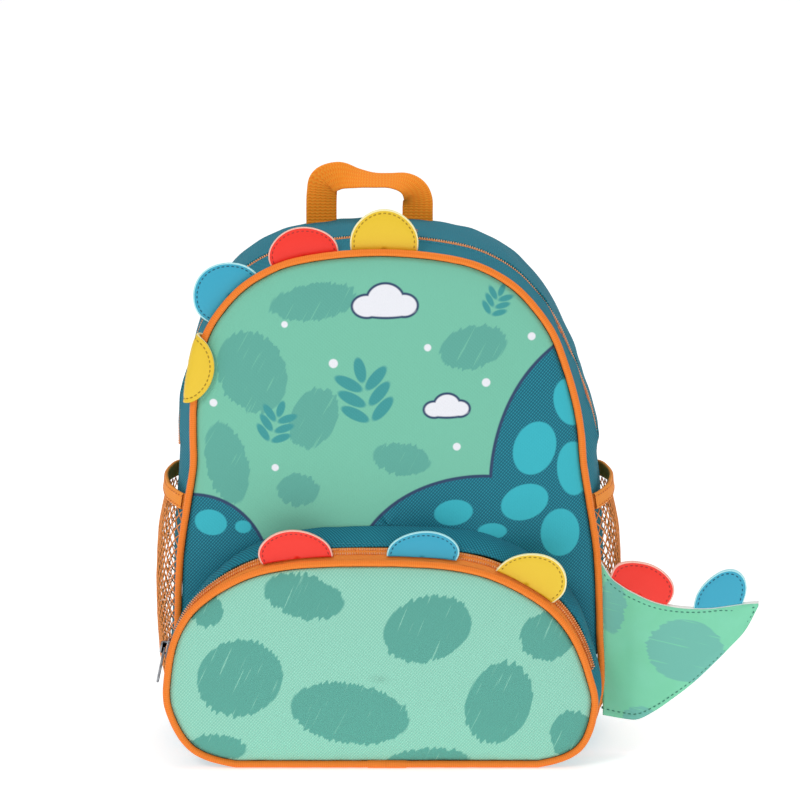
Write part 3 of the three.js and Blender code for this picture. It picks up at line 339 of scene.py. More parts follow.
def wovenPolyester(name, light, dark, depth=0.25, roughness=0.8, flat=False):
    # 600 denier polyester: dull, in slanting rows of thread tops, drawn about twice as coarse as it is; the
    #                       gaps between the thread tops are darkened with painted shade.
    def height(tree):
        where = frontPlace(tree) if flat else addNode(tree, "UVMap", uv_map="cloth")
        return weaveHeight(tree, where, weave["cloth"], weave["turn"])

    def color(tree, relief):
        where = addNode(tree, "TexCoord").outputs["Object"]
        patches = addNode(tree, "TexNoise", {"Vector": where, "Scale": 22.0, "Detail": 3.0})
        share = addNode(tree, "MapRange", [patches, 0.35, 0.75, 0, 0.16])
        # painted shade: dark colour where the weave is low between the thread tops, light colour on the
        # tops
        base = addNode(tree, "Mix", {0: relief, 6: hexColor(dark), 7: hexColor(light)}, data_type="RGBA")
        return addNode(tree, "Mix", {0: share, 6: base, 7: hexColor(light)}, data_type="RGBA")
    return clothMaterial(name, color, height, depth, roughness)


def ellipseMask(tree, where, middle, size, turn=0.0):
    # 1 inside an ellipse and 0 outside, with an edge half a millimetre soft; middle and size in mm.
    local = addNode(tree, "Mapping", {"Vector": where, "Location": (middle[0] / 1000, middle[1] / 1000, 0),
                                      "Rotation": (0, 0, math.radians(turn)),
                                      "Scale": (size[0] / 1000, size[1] / 1000, 1)}, vector_type="TEXTURE")
    reach = addNode(tree, "VectorMath", [local], operation="LENGTH")
    edge = 0.5 / min(size)
    return addNode(tree, "MapRange", [reach, 1 + edge, 1 - edge, 0, 1], interpolation_type="SMOOTHSTEP")


def unionOf(tree, where, shapes):
    total = ellipseMask(tree, where, *shapes[0])
    for shape in shapes[1:]:
        total = addNode(tree, "Math", [total, ellipseMask(tree, where, *shape)], operation="MAXIMUM")
    return total


def grown(shapes, more):
    return [(shape[0], (shape[1][0] + more, shape[1][1] + more), *shape[2:]) for shape in shapes]


# The pen's teeth and light gaps: length and width in metres, push in metres, ink left in a gap.
penSettings = {"tooth": (0.02, 0.0024, 1), "push": 0.0045, "stroke": (0.034, 0.0015, 1),
               "gap": (0.27, 0.34), "gapInk": 0.3}


def penFilled(tree, shapes, turn):
    # Shapes filled with a broad felt pen: toothed edges, and a few thin gaps along the strokes.
    where = frontPlace(tree)
    tilt = {"Vector": where, "Rotation": (0, 0, math.radians(turn))}
    teeth = addNode(tree, "Mapping", {**tilt, "Scale": penSettings["tooth"]}, vector_type="TEXTURE")
    push = addNode(tree, "TexNoise", {"Vector": teeth, "Scale": 1.0, "Detail": 1.0})
    push = addNode(tree, "MapRange", [push, 0, 1, -penSettings["push"], penSettings["push"]])
    way = (math.cos(math.radians(turn)), math.sin(math.radians(turn)), 0)
    moved = addNode(tree, "VectorMath", [way, push, where], operation="MULTIPLY_ADD")
    lines = addNode(tree, "Mapping", {**tilt, "Scale": penSettings["stroke"]}, vector_type="TEXTURE")
    gaps = addNode(tree, "TexNoise", {"Vector": lines, "Scale": 1.0, "Detail": 1.0})
    filled = addNode(tree, "MapRange", [gaps, *penSettings["gap"], penSettings["gapInk"], 1],
                     interpolation_type="SMOOTHSTEP")
    return addNode(tree, "Math", [unionOf(tree, moved, shapes), filled], operation="MULTIPLY")


def cloudShapes(x, z, size):
    # A flat-bottomed cloud of four puffs.
    return [((x + size * u, z + size * v), (size * w, size * h), 0) for u, v, w, h in (
        (0, 0.1, 0.34, 0.3), (-0.36, -0.02, 0.26, 0.2), (0.36, 0.0, 0.24, 0.2), (0, -0.1, 0.55, 0.12))]


def sprigShapes(x, z, size, turn, pairs=3):
    # Pairs of slim leaves up a stem, and one at the end of it.
    a = math.radians(turn)
    place = lambda u, v: (x + size * (u * math.cos(a) - v * math.sin(a)),
                          z + size * (u * math.sin(a) + v * math.cos(a)))
    shapes = [(place(0, 1.02), (size * 0.1, size * 0.22), turn)]
    for k in range(pairs):
        for side in (-1, 1):
            shapes.append((place(side * 0.24, 0.29 + 0.27 * k), (size * 0.1, size * 0.26),
                           turn - side * 52))
    return shapes


# A plain landscape for the big panel: hills with pebbles, leaves and clouds; places and sizes in mm.
panelArt = {
    "pen": 62, "line": 2.0,
    "hills": [((146, 168), (82, 106), 6), ((58, 114), (80, 66), 0), ((-118, 116), (44, 50), 0)],
    "pebbles": [((112, 226), (10, 15), 16), ((90, 198), (13, 17), -18), ((114, 184), (10, 17), 5),
                ((84, 164), (15, 11), 20), ((40, 158), (12, 8), 8), ((-110, 150), (10, 8), -8),
                ((106, 144), (12, 15), 0), ((64, 146), (9, 5), 0), ((-90, 148), (5, 4), 0)],
    "spots": [((-84, 246), (21, 26), 22), ((-100, 188), (13, 26), 12), ((-46, 290), (27, 11), 8),
              ((-46, 218), (14, 20), -25), ((52, 262), (21, 13), 14), ((-56, 172), (13, 10), 0),
              ((8, 192), (18, 10), -10)],
    "sprigs": [(-10, 212, 36, 12), (-74, 200, 24, -18), (62, 280, 18, -24)],
    "clouds": [(-2, 288, 32), (36, 224, 22)],
    "dots": [((-108, 226), (2.4, 2.4)), ((-34, 252), (2.8, 2.8)), ((-64, 276), (2.0, 2.0)),
             ((60, 240), (2.6, 2.6)), ((-70, 186), (2.2, 2.2)), ((88, 268), (2.4, 2.4)),
             ((24, 262), (2.2, 2.2)), ((42, 200), (2.4, 2.4))],
}
pocketArt = {"pen": 66, "spots": [((-92, 60), (27, 24), 25), ((-52, 112), (25, 13), -12),
                                  ((-24, 38), (37, 20), -10), ((24, 92), (28, 20), 18),
                                  ((68, 44), (20, 27), -20), ((98, 86), (17, 15), 0),
                                  ((-106, 14), (18, 9), 0), ((24, 5), (26, 9), 4),
                                  ((114, 22), (14, 16), 12), ((-112, 102), (10, 10), 30)]}
tailArt = {"pen": -12, "spots": [((184, 68), (24, 20), -8), ((139, 95), (8, 18), 0),
                                 ((156, 24), (10, 7), 0)]}


def overlaid(tree, base, mask, color):
    return addNode(tree, "Mix", {0: mask, 6: base, 7: color}, data_type="RGBA")


def printedPanel(name):
    # Heat-transfer print: smooth flat inks, and the teal ground cloth's weave where the hills are, its
    # thread tops lighter and the gaps between them darker with painted shade.
    def height(tree):
        return weaveHeight(tree, frontPlace(tree), weave["print"], weave["turn"])

    def color(tree, relief):
        where = frontPlace(tree)
        art = panelArt
        base = overlaid(tree, hexColor(colors["field"]), penFilled(tree, art["spots"], art["pen"]),
                        hexColor(colors["fieldSpot"]))
        leaves = [shape for sprig in art["sprigs"] for shape in sprigShapes(*sprig)]
        puffs = [shape for cloud in art["clouds"] for shape in cloudShapes(*cloud)]
        base = overlaid(tree, base, unionOf(tree, where, leaves), hexColor(colors["leaf"]))
        base = overlaid(tree, base, unionOf(tree, where, grown(puffs, 1.5)), hexColor(colors["navy"]))
        base = overlaid(tree, base, unionOf(tree, where, puffs + art["dots"]), hexColor(colors["white"]))
        base = overlaid(tree, base, unionOf(tree, where, grown(art["hills"], art["line"])),
                        hexColor(colors["navy"]))
        # painted shade between the teal threads: dark where the weave is low, light on the thread tops
        shadedThreads = overlaid(tree, hexColor(colors["tealDark"]), relief, hexColor(colors["tealLight"]))
        base = overlaid(tree, base, unionOf(tree, where, art["hills"]), shadedThreads)
        return overlaid(tree, base, unionOf(tree, where, art["pebbles"]), hexColor(colors["pebble"]))
    return clothMaterial(name, color, height, 0.1, 0.6)


def spottedPolyester(name):
    # The pocket's print: rounded pen-filled spots on a pale cloth whose slanting weave shows as painted
    # shade, darker between the thread tops.
    def height(tree):
        return weaveHeight(tree, frontPlace(tree), weave["print"], weave["turn"])

    def color(tree, relief):
        # painted shade: dark colour in the low gaps of the weave, light colour on the thread tops
        base = overlaid(tree, hexColor(colors["mintDark"]), relief, hexColor(colors["mintLight"]))
        return overlaid(tree, base, penFilled(tree, pocketArt["spots"], pocketArt["pen"]),
                        hexColor(colors["mintSpot"]))
    return clothMaterial(name, color, height, 0.18, 0.68)


def ribbedCloth(name, light, dark, along, across, depth, roughness, sway=0.0):
    # Ribs in two directions on the piece's own UV; along and across are their real pitches in mm. The
    # colour is painted lighter on the rib tops and darker in the grooves between them, as light and shade.
    def height(tree):
        split = addNode(tree, "SeparateXYZ", [addNode(tree, "UVMap", uv_map="cloth")])
        waves = []
        for k, pitch in enumerate((along, across)):
            turn = addNode(tree, "Math", [split.outputs[k], 2 * math.pi * 1000 / pitch],
                           operation="MULTIPLY")
            if k == 0 and sway:
                side = addNode(tree, "Math", [split.outputs[1], 2 * math.pi * 1000 / across],
                               operation="MULTIPLY")
                side = addNode(tree, "Math", [side], operation="SINE")
                turn = addNode(tree, "Math", [side, sway, turn], operation="MULTIPLY_ADD")
            wave = addNode(tree, "Math", [turn], operation="SINE")
            waves.append(addNode(tree, "MapRange", [wave, -1, 1, 0, 1]))
        return addNode(tree, "Math", [waves[1], 0.4, waves[0]], operation="MULTIPLY_ADD")

    def color(tree, relief):
        # painted shade in the grooves and painted light on the rib tops, from the rib height
        share = addNode(tree, "Math", [relief, 0.7], operation="MULTIPLY")
        return addNode(tree, "Mix", {0: share, 6: hexColor(dark), 7: hexColor(light)}, data_type="RGBA")
    return clothMaterial(name, color, height, depth, roughness)


def cloudedColor(tree, where, first, second, scale):
    # Two close shades in soft clouds.
    cloud = addNode(tree, "TexNoise", {"Vector": where, "Scale": scale, "Detail": 3.0})
    share = addNode(tree, "MapRange", [cloud, 0.3, 0.7, 0, 1])
    return addNode(tree, "Mix", {0: share, 6: hexColor(first), 7: hexColor(second)}, data_type="RGBA")


def smoothMaterial(name, first, second, roughness, scale=60.0, grain=1400.0, depth=0.1, level=0.45,
                   metal=0.0, spots=None):
    # A smooth skin: two close shades in soft clouds over a very fine grain; spots are printed on it.
    material, tree, shader = newMaterial(name)
    where = addNode(tree, "TexCoord").outputs["Object"]
    base = cloudedColor(tree, where, first, second, scale)
    if spots:
        base = overlaid(tree, base, penFilled(tree, spots["spots"], spots["pen"]),
                        hexColor(colors["tailSpot"]))
    tree.links.new(base.outputs[2], shader.inputs["Base Color"])
    shader.inputs["Roughness"].default_value = roughness
    shader.inputs["Specular IOR Level"].default_value = level
    shader.inputs["Metallic"].default_value = metal
    cells = addNode(tree, "TexVoronoi", {"Vector": where, "Scale": grain})
    bump = addNode(tree, "Bump", {"Height": cells, "Strength": 0.3, "Distance": depth * mm})
    tree.links.new(bump.outputs[0], shader.inputs["Normal"])
    return material


tealCloth = wovenPolyester("teal woven polyester", colors["tealLight"], colors["tealDark"])
strapCloth = wovenPolyester("teal strap polyester", "#23809A", "#165C6E", flat=True)
bandCloth = ribbedCloth("orange binding tape", "#FFA445", "#F08A2C", 1.3, 1.3, 0.12, 0.7)
panelPrint = printedPanel("printed polyester")
pocketPrint = spottedPolyester("spotted polyester")
# Polyester cloth over a cord, fairly smooth.
pipingCloth = ribbedCloth("orange piping cloth", "#FC8C34", "#F07A22", 1.3, 3.0, 0.08, 0.5)
# Polypropylene webbing: thick glossy yarns in a wavy weave, ribs along the strap.
orangeWebbing = ribbedCloth("orange polypropylene webbing", "#FFA42E", "#FF820C", 2.0, 3.2, 0.16, 0.58, 1.4)
tealWebbing = ribbedCloth("teal polypropylene webbing", "#2C8CA0", "#155566", 2.0, 3.2, 0.16, 0.58, 1.4)
# Woven zipper tape: narrow ribs.
orangeTape = ribbedCloth("orange zipper tape", "#FFA850", "#F2892F", 0.8, 0.9, 0.15, 0.65)
# Textured polyester yarn: soft and dull.
orangeNet = smoothMaterial("orange polyester net", "#E4823A", "#F7A968", 0.8, 700.0, 2600.0, 0.1, 0.25)
# PU leather: a smooth coated skin with a soft gloss; its cut edge is pale and dull.
leather = {key: smoothMaterial(f"{key} pu leather", pair[0], pair[0], 0.42)
           for key, pair in leatherColors.items()}
leatherEdge = {key: smoothMaterial(f"pale {key} cut edge", pair[1], pair[1], 0.7, level=0.3)
               for key, pair in leatherColors.items()}
tailLeather = smoothMaterial("spotted green pu leather", colors["tail"], "#80DAB4", 0.42, spots=tailArt)
whiteEdge = smoothMaterial("white cut edge", colors["whiteEdge"], colors["whiteEdge"], 0.7, level=0.3)
thread = {key: smoothMaterial(f"{key} thread", value, value, 0.55, grain=2500.0)
          for key, value in threadColors.items()}
# Moulded nylon filament, and die-cast zinc with a nickel plating that handling has dulled.
coilNylon = smoothMaterial("peach nylon coil", "#EE9A5A", "#F9BE8C", 0.4, 300.0)
nickel = smoothMaterial("nickel plated zinc", "#6D6F74", "#A9ABB0", 0.3, 260.0, depth=0.03, metal=1.0)
nickel.node_tree.nodes["Principled BSDF"].inputs["Specular IOR Level"].default_value = 0.5
tealPlastic = smoothMaterial("teal acetal", "#1B6172", "#226B7C", 0.45)
print("finishes ready")


# Geometry nodes: a small shape repeated along a path, and yarns along the edges of a net.

def nodeGroup(name, sockets):
    tree = bpy.data.node_groups.new(name, "GeometryNodeTree")
    ids = {}
    for label, kind, way in sockets:
        ids[label] = tree.interface.new_socket(name=label, in_out=way, socket_type=kind).identifier
    return tree, ids, addNode(tree, "NodeGroupInput"), addNode(tree, "NodeGroupOutput")


def closeTree(tree, shapes, entry, leave):
    # Real meshes, shaded smooth, in the finish that was asked for.
    real = addNode(tree, "GeometryNodeRealizeInstances", {0: shapes})
    soft = addNode(tree, "GeometryNodeSetShadeSmooth", {0: real})
    done = addNode(tree, "GeometryNodeSetMaterial", {"Geometry": soft, "Material": entry.outputs["Finish"]})
    tree.links.new(done.outputs[0], leave.inputs[0])


def buildRepeatTree():
    tree, ids, entry, leave = nodeGroup("repeatAlongPath", [
        ("Path", "NodeSocketGeometry", "INPUT"), ("Spacing", "NodeSocketFloat", "INPUT"),
        ("Size", "NodeSocketVector", "INPUT"), ("Finish", "NodeSocketMaterial", "INPUT"),
        ("Geometry", "NodeSocketGeometry", "OUTPUT")])
    line = addNode(tree, "GeometryNodeMeshToCurve", {"Mesh": entry.outputs["Path"]})
    even = addNode(tree, "GeometryNodeResampleCurve",
                   {"Curve": line.outputs[0], "Length": entry.outputs["Spacing"]}, mode="LENGTH")
    tangent = addNode(tree, "GeometryNodeInputTangent")
    outwards = addNode(tree, "GeometryNodeInputNamedAttribute", {"Name": "outwards"},
                       data_type="FLOAT_VECTOR")
    along = addNode(tree, "FunctionNodeAlignRotationToVector", {"Vector": tangent.outputs[0]}, axis="X")
    up = addNode(tree, "FunctionNodeAlignRotationToVector",
                 {"Rotation": along.outputs[0], "Vector": outwards.outputs[0]}, axis="Z", pivot_axis="X")
    bead = addNode(tree, "GeometryNodeMeshUVSphere", {"Segments": 6, "Rings": 4, "Radius": 0.5})
    dots = addNode(tree, "GeometryNodeInstanceOnPoints",
                   {"Points": even.outputs[0], "Instance": bead.outputs[0], "Rotation": up.outputs[0],
                    "Scale": entry.outputs["Size"]})
    closeTree(tree, dots, entry, leave)
    return tree, ids


def buildNetTree():
    tree, ids, entry, leave = nodeGroup("yarnAlongEdges", [
        ("Edges", "NodeSocketGeometry", "INPUT"), ("Radius", "NodeSocketFloat", "INPUT"),
        ("Finish", "NodeSocketMaterial", "INPUT"), ("Geometry", "NodeSocketGeometry", "OUTPUT")])
    line = addNode(tree, "GeometryNodeMeshToCurve", {"Mesh": entry.outputs["Edges"]})
    ring = addNode(tree, "GeometryNodeCurvePrimitiveCircle",
                   {"Resolution": 5, "Radius": entry.outputs["Radius"]})
    tube = addNode(tree, "GeometryNodeCurveToMesh",
                   {"Curve": line.outputs[0], "Profile Curve": ring.outputs[0], "Fill Caps": True})
    closeTree(tree, tube, entry, leave)
    return tree, ids


repeatTree, repeatIds = buildRepeatTree()
netTree, netIds = buildNetTree()


def runTree(name, points, edges, outwards, tree, values, body="bag"):
    # Runs a node tree on loose edges and keeps its result as a plain mesh.
    mesh = bpy.data.meshes.new(name)
    mesh.from_pydata((np.asarray(points) * mm).tolist(), edges, [])
    if outwards is not None:
        layer = mesh.attributes.new("outwards", "FLOAT_VECTOR", "POINT")
        layer.data.foreach_set("vector", np.asarray(outwards, float).ravel())
    source = bpy.data.objects.new(name + "Path", mesh)
    scene.collection.objects.link(source)
    modifier = source.modifiers.new("nodes", "NODES")
    modifier.node_group = tree
    for key, value in values.items():
        modifier[key] = value
    made = bpy.data.meshes.new_from_object(source.evaluated_get(bpy.context.evaluated_depsgraph_get()))
    bpy.data.objects.remove(source)
    piece = bpy.data.objects.new(name, made)
    scene.collection.objects.link(piece)
    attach(piece, body)
    return piece


def repeatAlong(name, paths, spacing, size, material, body="bag"):
    # paths is a list of (points, outwards, closed) in mm; spacing and size in mm.
    points, outs, edges = [], [], []
    for line, out, closed in paths:
        first = sum(len(p) for p in points)
        points.append(np.asarray(line, float))
        outs.append(np.asarray(out, float))
        edges += [(first + k, first + k + 1) for k in range(len(line) - 1)]
        if closed:
            edges.append((first + len(line) - 1, first))
    piece = runTree(name, np.vstack(points), edges, np.vstack(outs), repeatTree, {
        repeatIds["Spacing"]: spacing * mm, repeatIds["Size"]: tuple(v * mm for v in size),
        repeatIds["Finish"]: material}, body)
    return piece


# Main compartment.

zipSettings = {"width": 8.5, "tape": 0.9, "sunk": 0.5, "pitch": 1.5, "tooth": (0.95, 2.3, 1.7), "row": 1.25,
               "steps": 420}
gussetSettings = {"round": 620, "thickness": 1.4, "pucker": 0.35, "puckerLength": 13.0, "soft": 0.5,
                  "softLength": 70, "zipFront": 0.26, "zipEnd": 0.6, "zipSoft": 0.004, "lip": 0.8,
                  "lipWidth": 2.0, "frontRows": 17, "backRows": 42, "lowRows": 7}
zipBack = gussetSettings["zipFront"] + zipSettings["width"] / bag["depth"]

# Soft folds of the gusset: station, share of depth, half length along the depth, half width, height, slant.
gussetFolds = [(0.352, 0.55, 0.5, 7, 1.6, 0.15), (0.372, 0.5, 0.4, 6, -1.5, -0.1),
               (0.395, 0.6, 0.5, 9, 1.4, 0.2), (0.33, 0.5, 0.45, 6, -1.3, 0.0),
               (0.425, 0.7, 0.3, 8, 0.9, 0.3), (0.305, 0.45, 0.4, 7, 1.2, 0.1),
               (0.45, 0.75, 0.25, 7, -0.8, -0.2), (0.285, 0.5, 0.5, 8, -1.0, -0.1),
               (0.61, 0.6, 0.4, 9, 1.1, 0.2), (0.64, 0.5, 0.45, 8, -1.0, -0.15),
               (0.67, 0.5, 0.5, 8, 1.1, 0.1), (0.7, 0.5, 0.5, 9, -0.9, 0.0),
               (0.56, 0.75, 0.25, 8, 0.8, 0.1)]


def foldHeight(folds, outline, s, share):
    total = 0
    for at, middle, reach, width, height, slant in folds:
        away = (np.mod(s - at - slant * (share - middle) * 0.05 + 0.5, 1) - 0.5) * outline.length / width
        total = total + height * np.exp(-away ** 2) * np.exp(-((share - middle) / reach) ** 2)
    return total


def seamPucker(s, share, outline, settings):
    near = np.exp(-share * 14) + np.exp(-(1 - share) * 14)
    ripple = softNoise(s * outline.length, share * 30, settings["puckerLength"], 3)
    return settings["pucker"] * near * ripple


def gussetRelief(s, share, settings):
    # Folds, soft waves and the puckers at the seams, in mm outwards.
    calm = np.sin(np.pi * np.clip(share, 0.02, 0.98)) ** 0.5
    waves = settings["soft"] * softNoise(s * arch.length, share * bag["depth"], settings["softLength"], 5)
    return foldHeight(gussetFolds, arch, s, share) * calm + waves + seamPucker(s, share, arch, settings)


def flatBelow(s):
    return 1 - np.maximum(0, -normalAt(arch, s)[..., 2]) ** 2


def gussetBand(name, s, shares, settings, zipEdge=None, wrap=False):
    gridS, gridV = np.meshgrid(s, shares, indexing="ij")
    extra = gussetRelief(gridS, gridV, settings)
    if zipEdge is not None:  # the cloth turns under in a low lip beside the tape
        near = np.exp(-np.abs(gridV - zipEdge) * bag["depth"] / settings["lipWidth"])
        extra = extra + settings["lip"] * near * zipMask(gridS, *zipRange(), settings["zipSoft"])
    extra = extra * flatBelow(gridS)
    uv = np.stack([gridS * arch.length, gridV * bag["depth"]], -1) * mm
    grid = gussetPlace(gridS, gridV, extra)
    piece = clothGrid(name, grid, tealCloth, uv, settings["thickness"], normalAt(arch, gridS), wrap)
    return piece


def stationsOutside(start, stop, count):
    # Evenly from stop over the middle of the base to start.
    return np.concatenate([np.arange(stop, 1, 1 / count), np.arange(0, start, 1 / count), [start]])


def makeGusset(settings):
    s = np.arange(settings["round"]) / settings["round"]
    zipFront = settings["zipFront"]
    frontShares = np.linspace(0, zipFront, settings["frontRows"])
    front = gussetBand("gusset_front", s, frontShares, settings, zipFront, True)
    gussetBand("gusset_back", s, np.linspace(zipBack, 1, settings["backRows"]), settings, zipBack, True)
    # below the zipper's ends the two bands are one cloth
    low = stationsOutside(*zipRange(), settings["round"])
    gussetBand("gusset_low", low, np.linspace(zipFront, zipBack, settings["lowRows"]), settings)
    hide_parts("main_gusset", "main_base")


def zipRange():
    start = float(arch.station(gussetSettings["zipEnd"] * bag["height"], 1))
    return start, 1 - start


def zipMask(s, start, stop, soft):
    # 1 beside the zipper and 0 past its ends.
    return smoothStep(start - soft, start + soft, s) * (1 - smoothStep(stop - soft, stop + soft, s))


makeGusset(gussetSettings)
print("gusset made")

panelSettings = {"round": 480, "rings": 46, "middle": (0.0, 0.47 * bag["height"]), "edge": 2.5,
                 "thickness": 1.6, "roll": 1.5, "rollLength": 5.0, "soft": 0.9}


def crownedGrid(outline, settings, crown, depthAt, softSeed, dents=()):
    s = np.arange(settings["round"]) / settings["round"]
    share = np.linspace(0.015, 1, settings["rings"]) ** 0.8
    gridS, gridR = np.meshgrid(s, share, indexing="ij")
    x, z, nx, nz = outline.at(gridS)
    rimX, rimZ = x - nx * settings["edge"], z - nz * settings["edge"]
    mx, mz = settings["middle"]
    gridX, gridZ = mx + (rimX - mx) * gridR, mz + (rimZ - mz) * gridR
    fromEdge = (1 - gridR) * np.hypot(rimX - mx, rimZ - mz)
    lift = crown * (1 - gridR ** 2.2) + settings["roll"] * (1 - np.exp(-fromEdge / settings["rollLength"]))
    lift = lift + settings["soft"] * softNoise(gridX, gridZ, 120, softSeed) * np.minimum(fromEdge / 30, 1)
    ripple = 0.3 * softNoise(gridS * outline.length, fromEdge * 0.6, 15, softSeed + 2)
    ripple = ripple * np.exp(-fromEdge / 7)
    for cx, cz, rx, rz, height in dents:
        lift = lift + height * np.exp(-((gridX - cx) / rx) ** 2 - ((gridZ - cz) / rz) ** 2)
    gridY = depthAt(gridZ) - lift - ripple
    return np.stack([gridX, gridY, gridZ], -1)


def closePole(grid):
    # The innermost ring is tiny; it is drawn to one point so no hole is left.
    grid[:, 0] = grid[:, 0].mean(0)
    return grid


def makePanel(name, outline, settings, crown, depthAt, material, node, seed, dents=()):
    grid = closePole(crownedGrid(outline, settings, crown, depthAt, seed, dents))
    uv = grid[..., [0, 2]] * mm
    outward = np.zeros_like(grid) + np.array([0, -1.0, 0])
    piece = clothGrid(name, grid, material, uv, settings["thickness"], outward, True)
    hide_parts(node)


makePanel("frontPanel", arch, panelSettings, bag["crown"], frontY, panelPrint,
          "front_panel", 11, [(-20, 175, 90, 26, -1.6), (60, 230, 40, 60, 1.0)])


pipingSettings = {"round": 760, "sides": 14, "joinHalf": 12.0, "joinThick": 0.3}


def makePiping(name, outline, depthAt, node, settings, joined=False):
    s = np.arange(settings["round"]) / settings["round"]
    angle = np.arange(settings["sides"] + 1) / settings["sides"] * 2 * np.pi
    gridS, gridA = np.meshgrid(s, angle, indexing="ij")
    x, z, nx, nz = outline.at(gridS)
    radius = bag["piping"] * (1 + 0.03 * softNoise(gridS * outline.length, gridA * 2, 12, 4))
    if joined:  # the two ends overlap in a short sleeve under the middle
        away = np.abs(np.mod(gridS + 0.5, 1) - 0.5) * outline.length
        radius = radius + settings["joinThick"] * (away < settings["joinHalf"])
    grid = np.stack([x + nx * np.cos(gridA) * radius, depthAt(z) + np.sin(gridA) * radius,
                     np.maximum(z + nz * np.cos(gridA) * radius, 0)], -1)
    uv = np.stack([gridS * outline.length, gridA * bag["piping"]], -1) * mm
    outward = np.stack([nx * np.cos(gridA), np.sin(gridA), nz * np.cos(gridA)], -1)
    piece = clothGrid(name, grid, pipingCloth, uv, 0, outward, True)
    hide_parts(node)


makePiping("mainPiping", arch, frontY, "main_piping", pipingSettings)
print("front panel and piping made")

# Zippers.


def makeZipper(name, placeAt, outline, start, stop, shareFrom, shareTo, coilAt, node):
    s = np.linspace(start, stop, zipSettings["steps"])
    across = np.linspace(0, 1, 9)
    gridS, gridW = np.meshgrid(s, across, indexing="ij")
    share = shareFrom + (shareTo - shareFrom) * gridW
    sink = -zipSettings["sunk"] - 0.5 * np.exp(-((gridW - coilAt) / 0.2) ** 2)
    uv = np.stack([gridS * outline.length, gridW * zipSettings["width"]], -1) * mm
    tape = clothGrid(name + "Tape", placeAt(gridS, share, sink), orangeTape, uv, zipSettings["tape"],
                     normalAt(outline, gridS))
    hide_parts(node)
    paths = []
    for side in (-1, 1):
        rowAt = coilAt + side * zipSettings["row"] / zipSettings["width"]
        where = shareFrom + (shareTo - shareFrom) * rowAt
        middle = placeAt(s, where + 0 * s, 0.15)
        paths.append((middle, placeAt(s, where + 0 * s, 1.15) - middle, False))
    repeatAlong(name + "Coil", paths, zipSettings["pitch"], zipSettings["tooth"], coilNylon)


mainZip = zipRange()
makeZipper("mainZip", gussetPlace, arch, mainZip[0], mainZip[1], gussetSettings["zipFront"], zipBack, 0.5,
           "main_zipper")
print("main zipper made")

# Front pocket.


def pocketY(z):
    return frontY(z) - pocket["depth"]


def panelShare(x, z):
    mx, mz = panelSettings["middle"]
    rim = np.arctan2(arch.z - mz, arch.x - mx)
    order = np.argsort(rim)
    reach = np.hypot(arch.x - mx, arch.z - mz)[order]
    edge = np.interp(np.arctan2(z - mz, x - mx), rim[order], reach, period=2 * np.pi)
    return np.clip(np.hypot(x - mx, z - mz) / edge, 0, 1)


def footY(s):
    x, z, _, _ = pocketFoot.at(s)
    panel = frontY(z) - bag["crown"] * (1 - panelShare(x, z) ** 2.2) - 1
    return np.minimum(panel, frontY(z) - bag["piping"]) - bag["gap"]


def pocketPlace(s, share, out=0.0):
    x, z, nx, nz = pocketArch.at(s)
    fx, fz, _, _ = pocketFoot.at(s)
    above = smoothStep(-0.6, -0.4, nz)
    swell = above * pocket["bulge"] * np.sin(np.pi * np.clip(share, 0, 1)) * np.minimum(1, z / 40)
    start = pocketY(z) + bag["piping"] + bag["gap"]
    reach = swell + out
    return np.stack([x + (fx - x) * share + nx * reach, start + (footY(s) - start) * share,
                     np.maximum(z + (fz - z) * share + nz * reach, pocket["lift"])], -1)


pocketSettings = {"round": 520, "thickness": 1.4, "zipShare": 1.1 * zipSettings["width"] / pocket["depth"],
                  "zipRight": 0.46, "zipLeft": 0.47, "zipSoft": 0.003, "soft": 0.4, "softLength": 45,
                  "pucker": 0.3, "puckerLength": 12.0, "lip": 0.7, "lipWidth": 1.6, "backRows": 30,
                  "lowRows": 11}
pocketFolds = [(0.3, 0.6, 0.4, 8, 1.2, 0.3), (0.345, 0.65, 0.4, 10, -1.0, -0.2),
               (0.4, 0.6, 0.4, 12, 0.9, 0.1), (0.63, 0.65, 0.4, 10, 1.1, -0.2),
               (0.68, 0.6, 0.4, 9, -1.1, 0.2), (0.72, 0.6, 0.4, 9, 1.0, 0.1),
               (0.5, 0.7, 0.4, 22, -0.8, 0.0), (0.27, 0.6, 0.4, 8, -0.9, 0.1)]


def pocketZipRange():
    right = float(pocketArch.station(pocketSettings["zipRight"] * pocket["height"], 1))
    left = float(pocketArch.station(pocketSettings["zipLeft"] * pocket["height"], -1))
    return right, left


def makePocketGusset(settings):
    start, stop = pocketZipRange()
    s = np.arange(settings["round"]) / settings["round"]
    low = stationsOutside(start, stop, settings["round"])
    backShares = np.linspace(settings["zipShare"], 1, settings["backRows"])
    lowShares = np.linspace(0, settings["zipShare"], settings["lowRows"])
    for label, stations, shares, wrap in (("back", s, backShares, True), ("low", low, lowShares, False)):
        gridS, gridV = np.meshgrid(stations, shares, indexing="ij")
        calm = np.sin(np.pi * np.clip(gridV, 0.05, 0.95)) ** 0.6
        waves = settings["soft"] * softNoise(gridS * pocketArch.length, gridV * pocket["depth"],
                                             settings["softLength"], 8)
        extra = foldHeight(pocketFolds, pocketArch, gridS, gridV) * calm + waves
        above = smoothStep(-0.7, -0.3, normalAt(pocketArch, gridS)[..., 2])
        extra = (extra + seamPucker(gridS, gridV, pocketArch, settings)) * above
        near = np.exp(-np.abs(gridV - settings["zipShare"]) * pocket["depth"] / settings["lipWidth"])
        extra = extra + settings["lip"] * near * zipMask(gridS, start, stop, settings["zipSoft"])
        uv = np.stack([gridS * pocketArch.length, gridV * pocket["depth"]], -1) * mm
        piece = clothGrid(f"pocketGusset_{label}", pocketPlace(gridS, gridV, extra), tealCloth, uv,
                          settings["thickness"], normalAt(pocketArch, gridS), wrap)
    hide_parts("pocket_gusset")


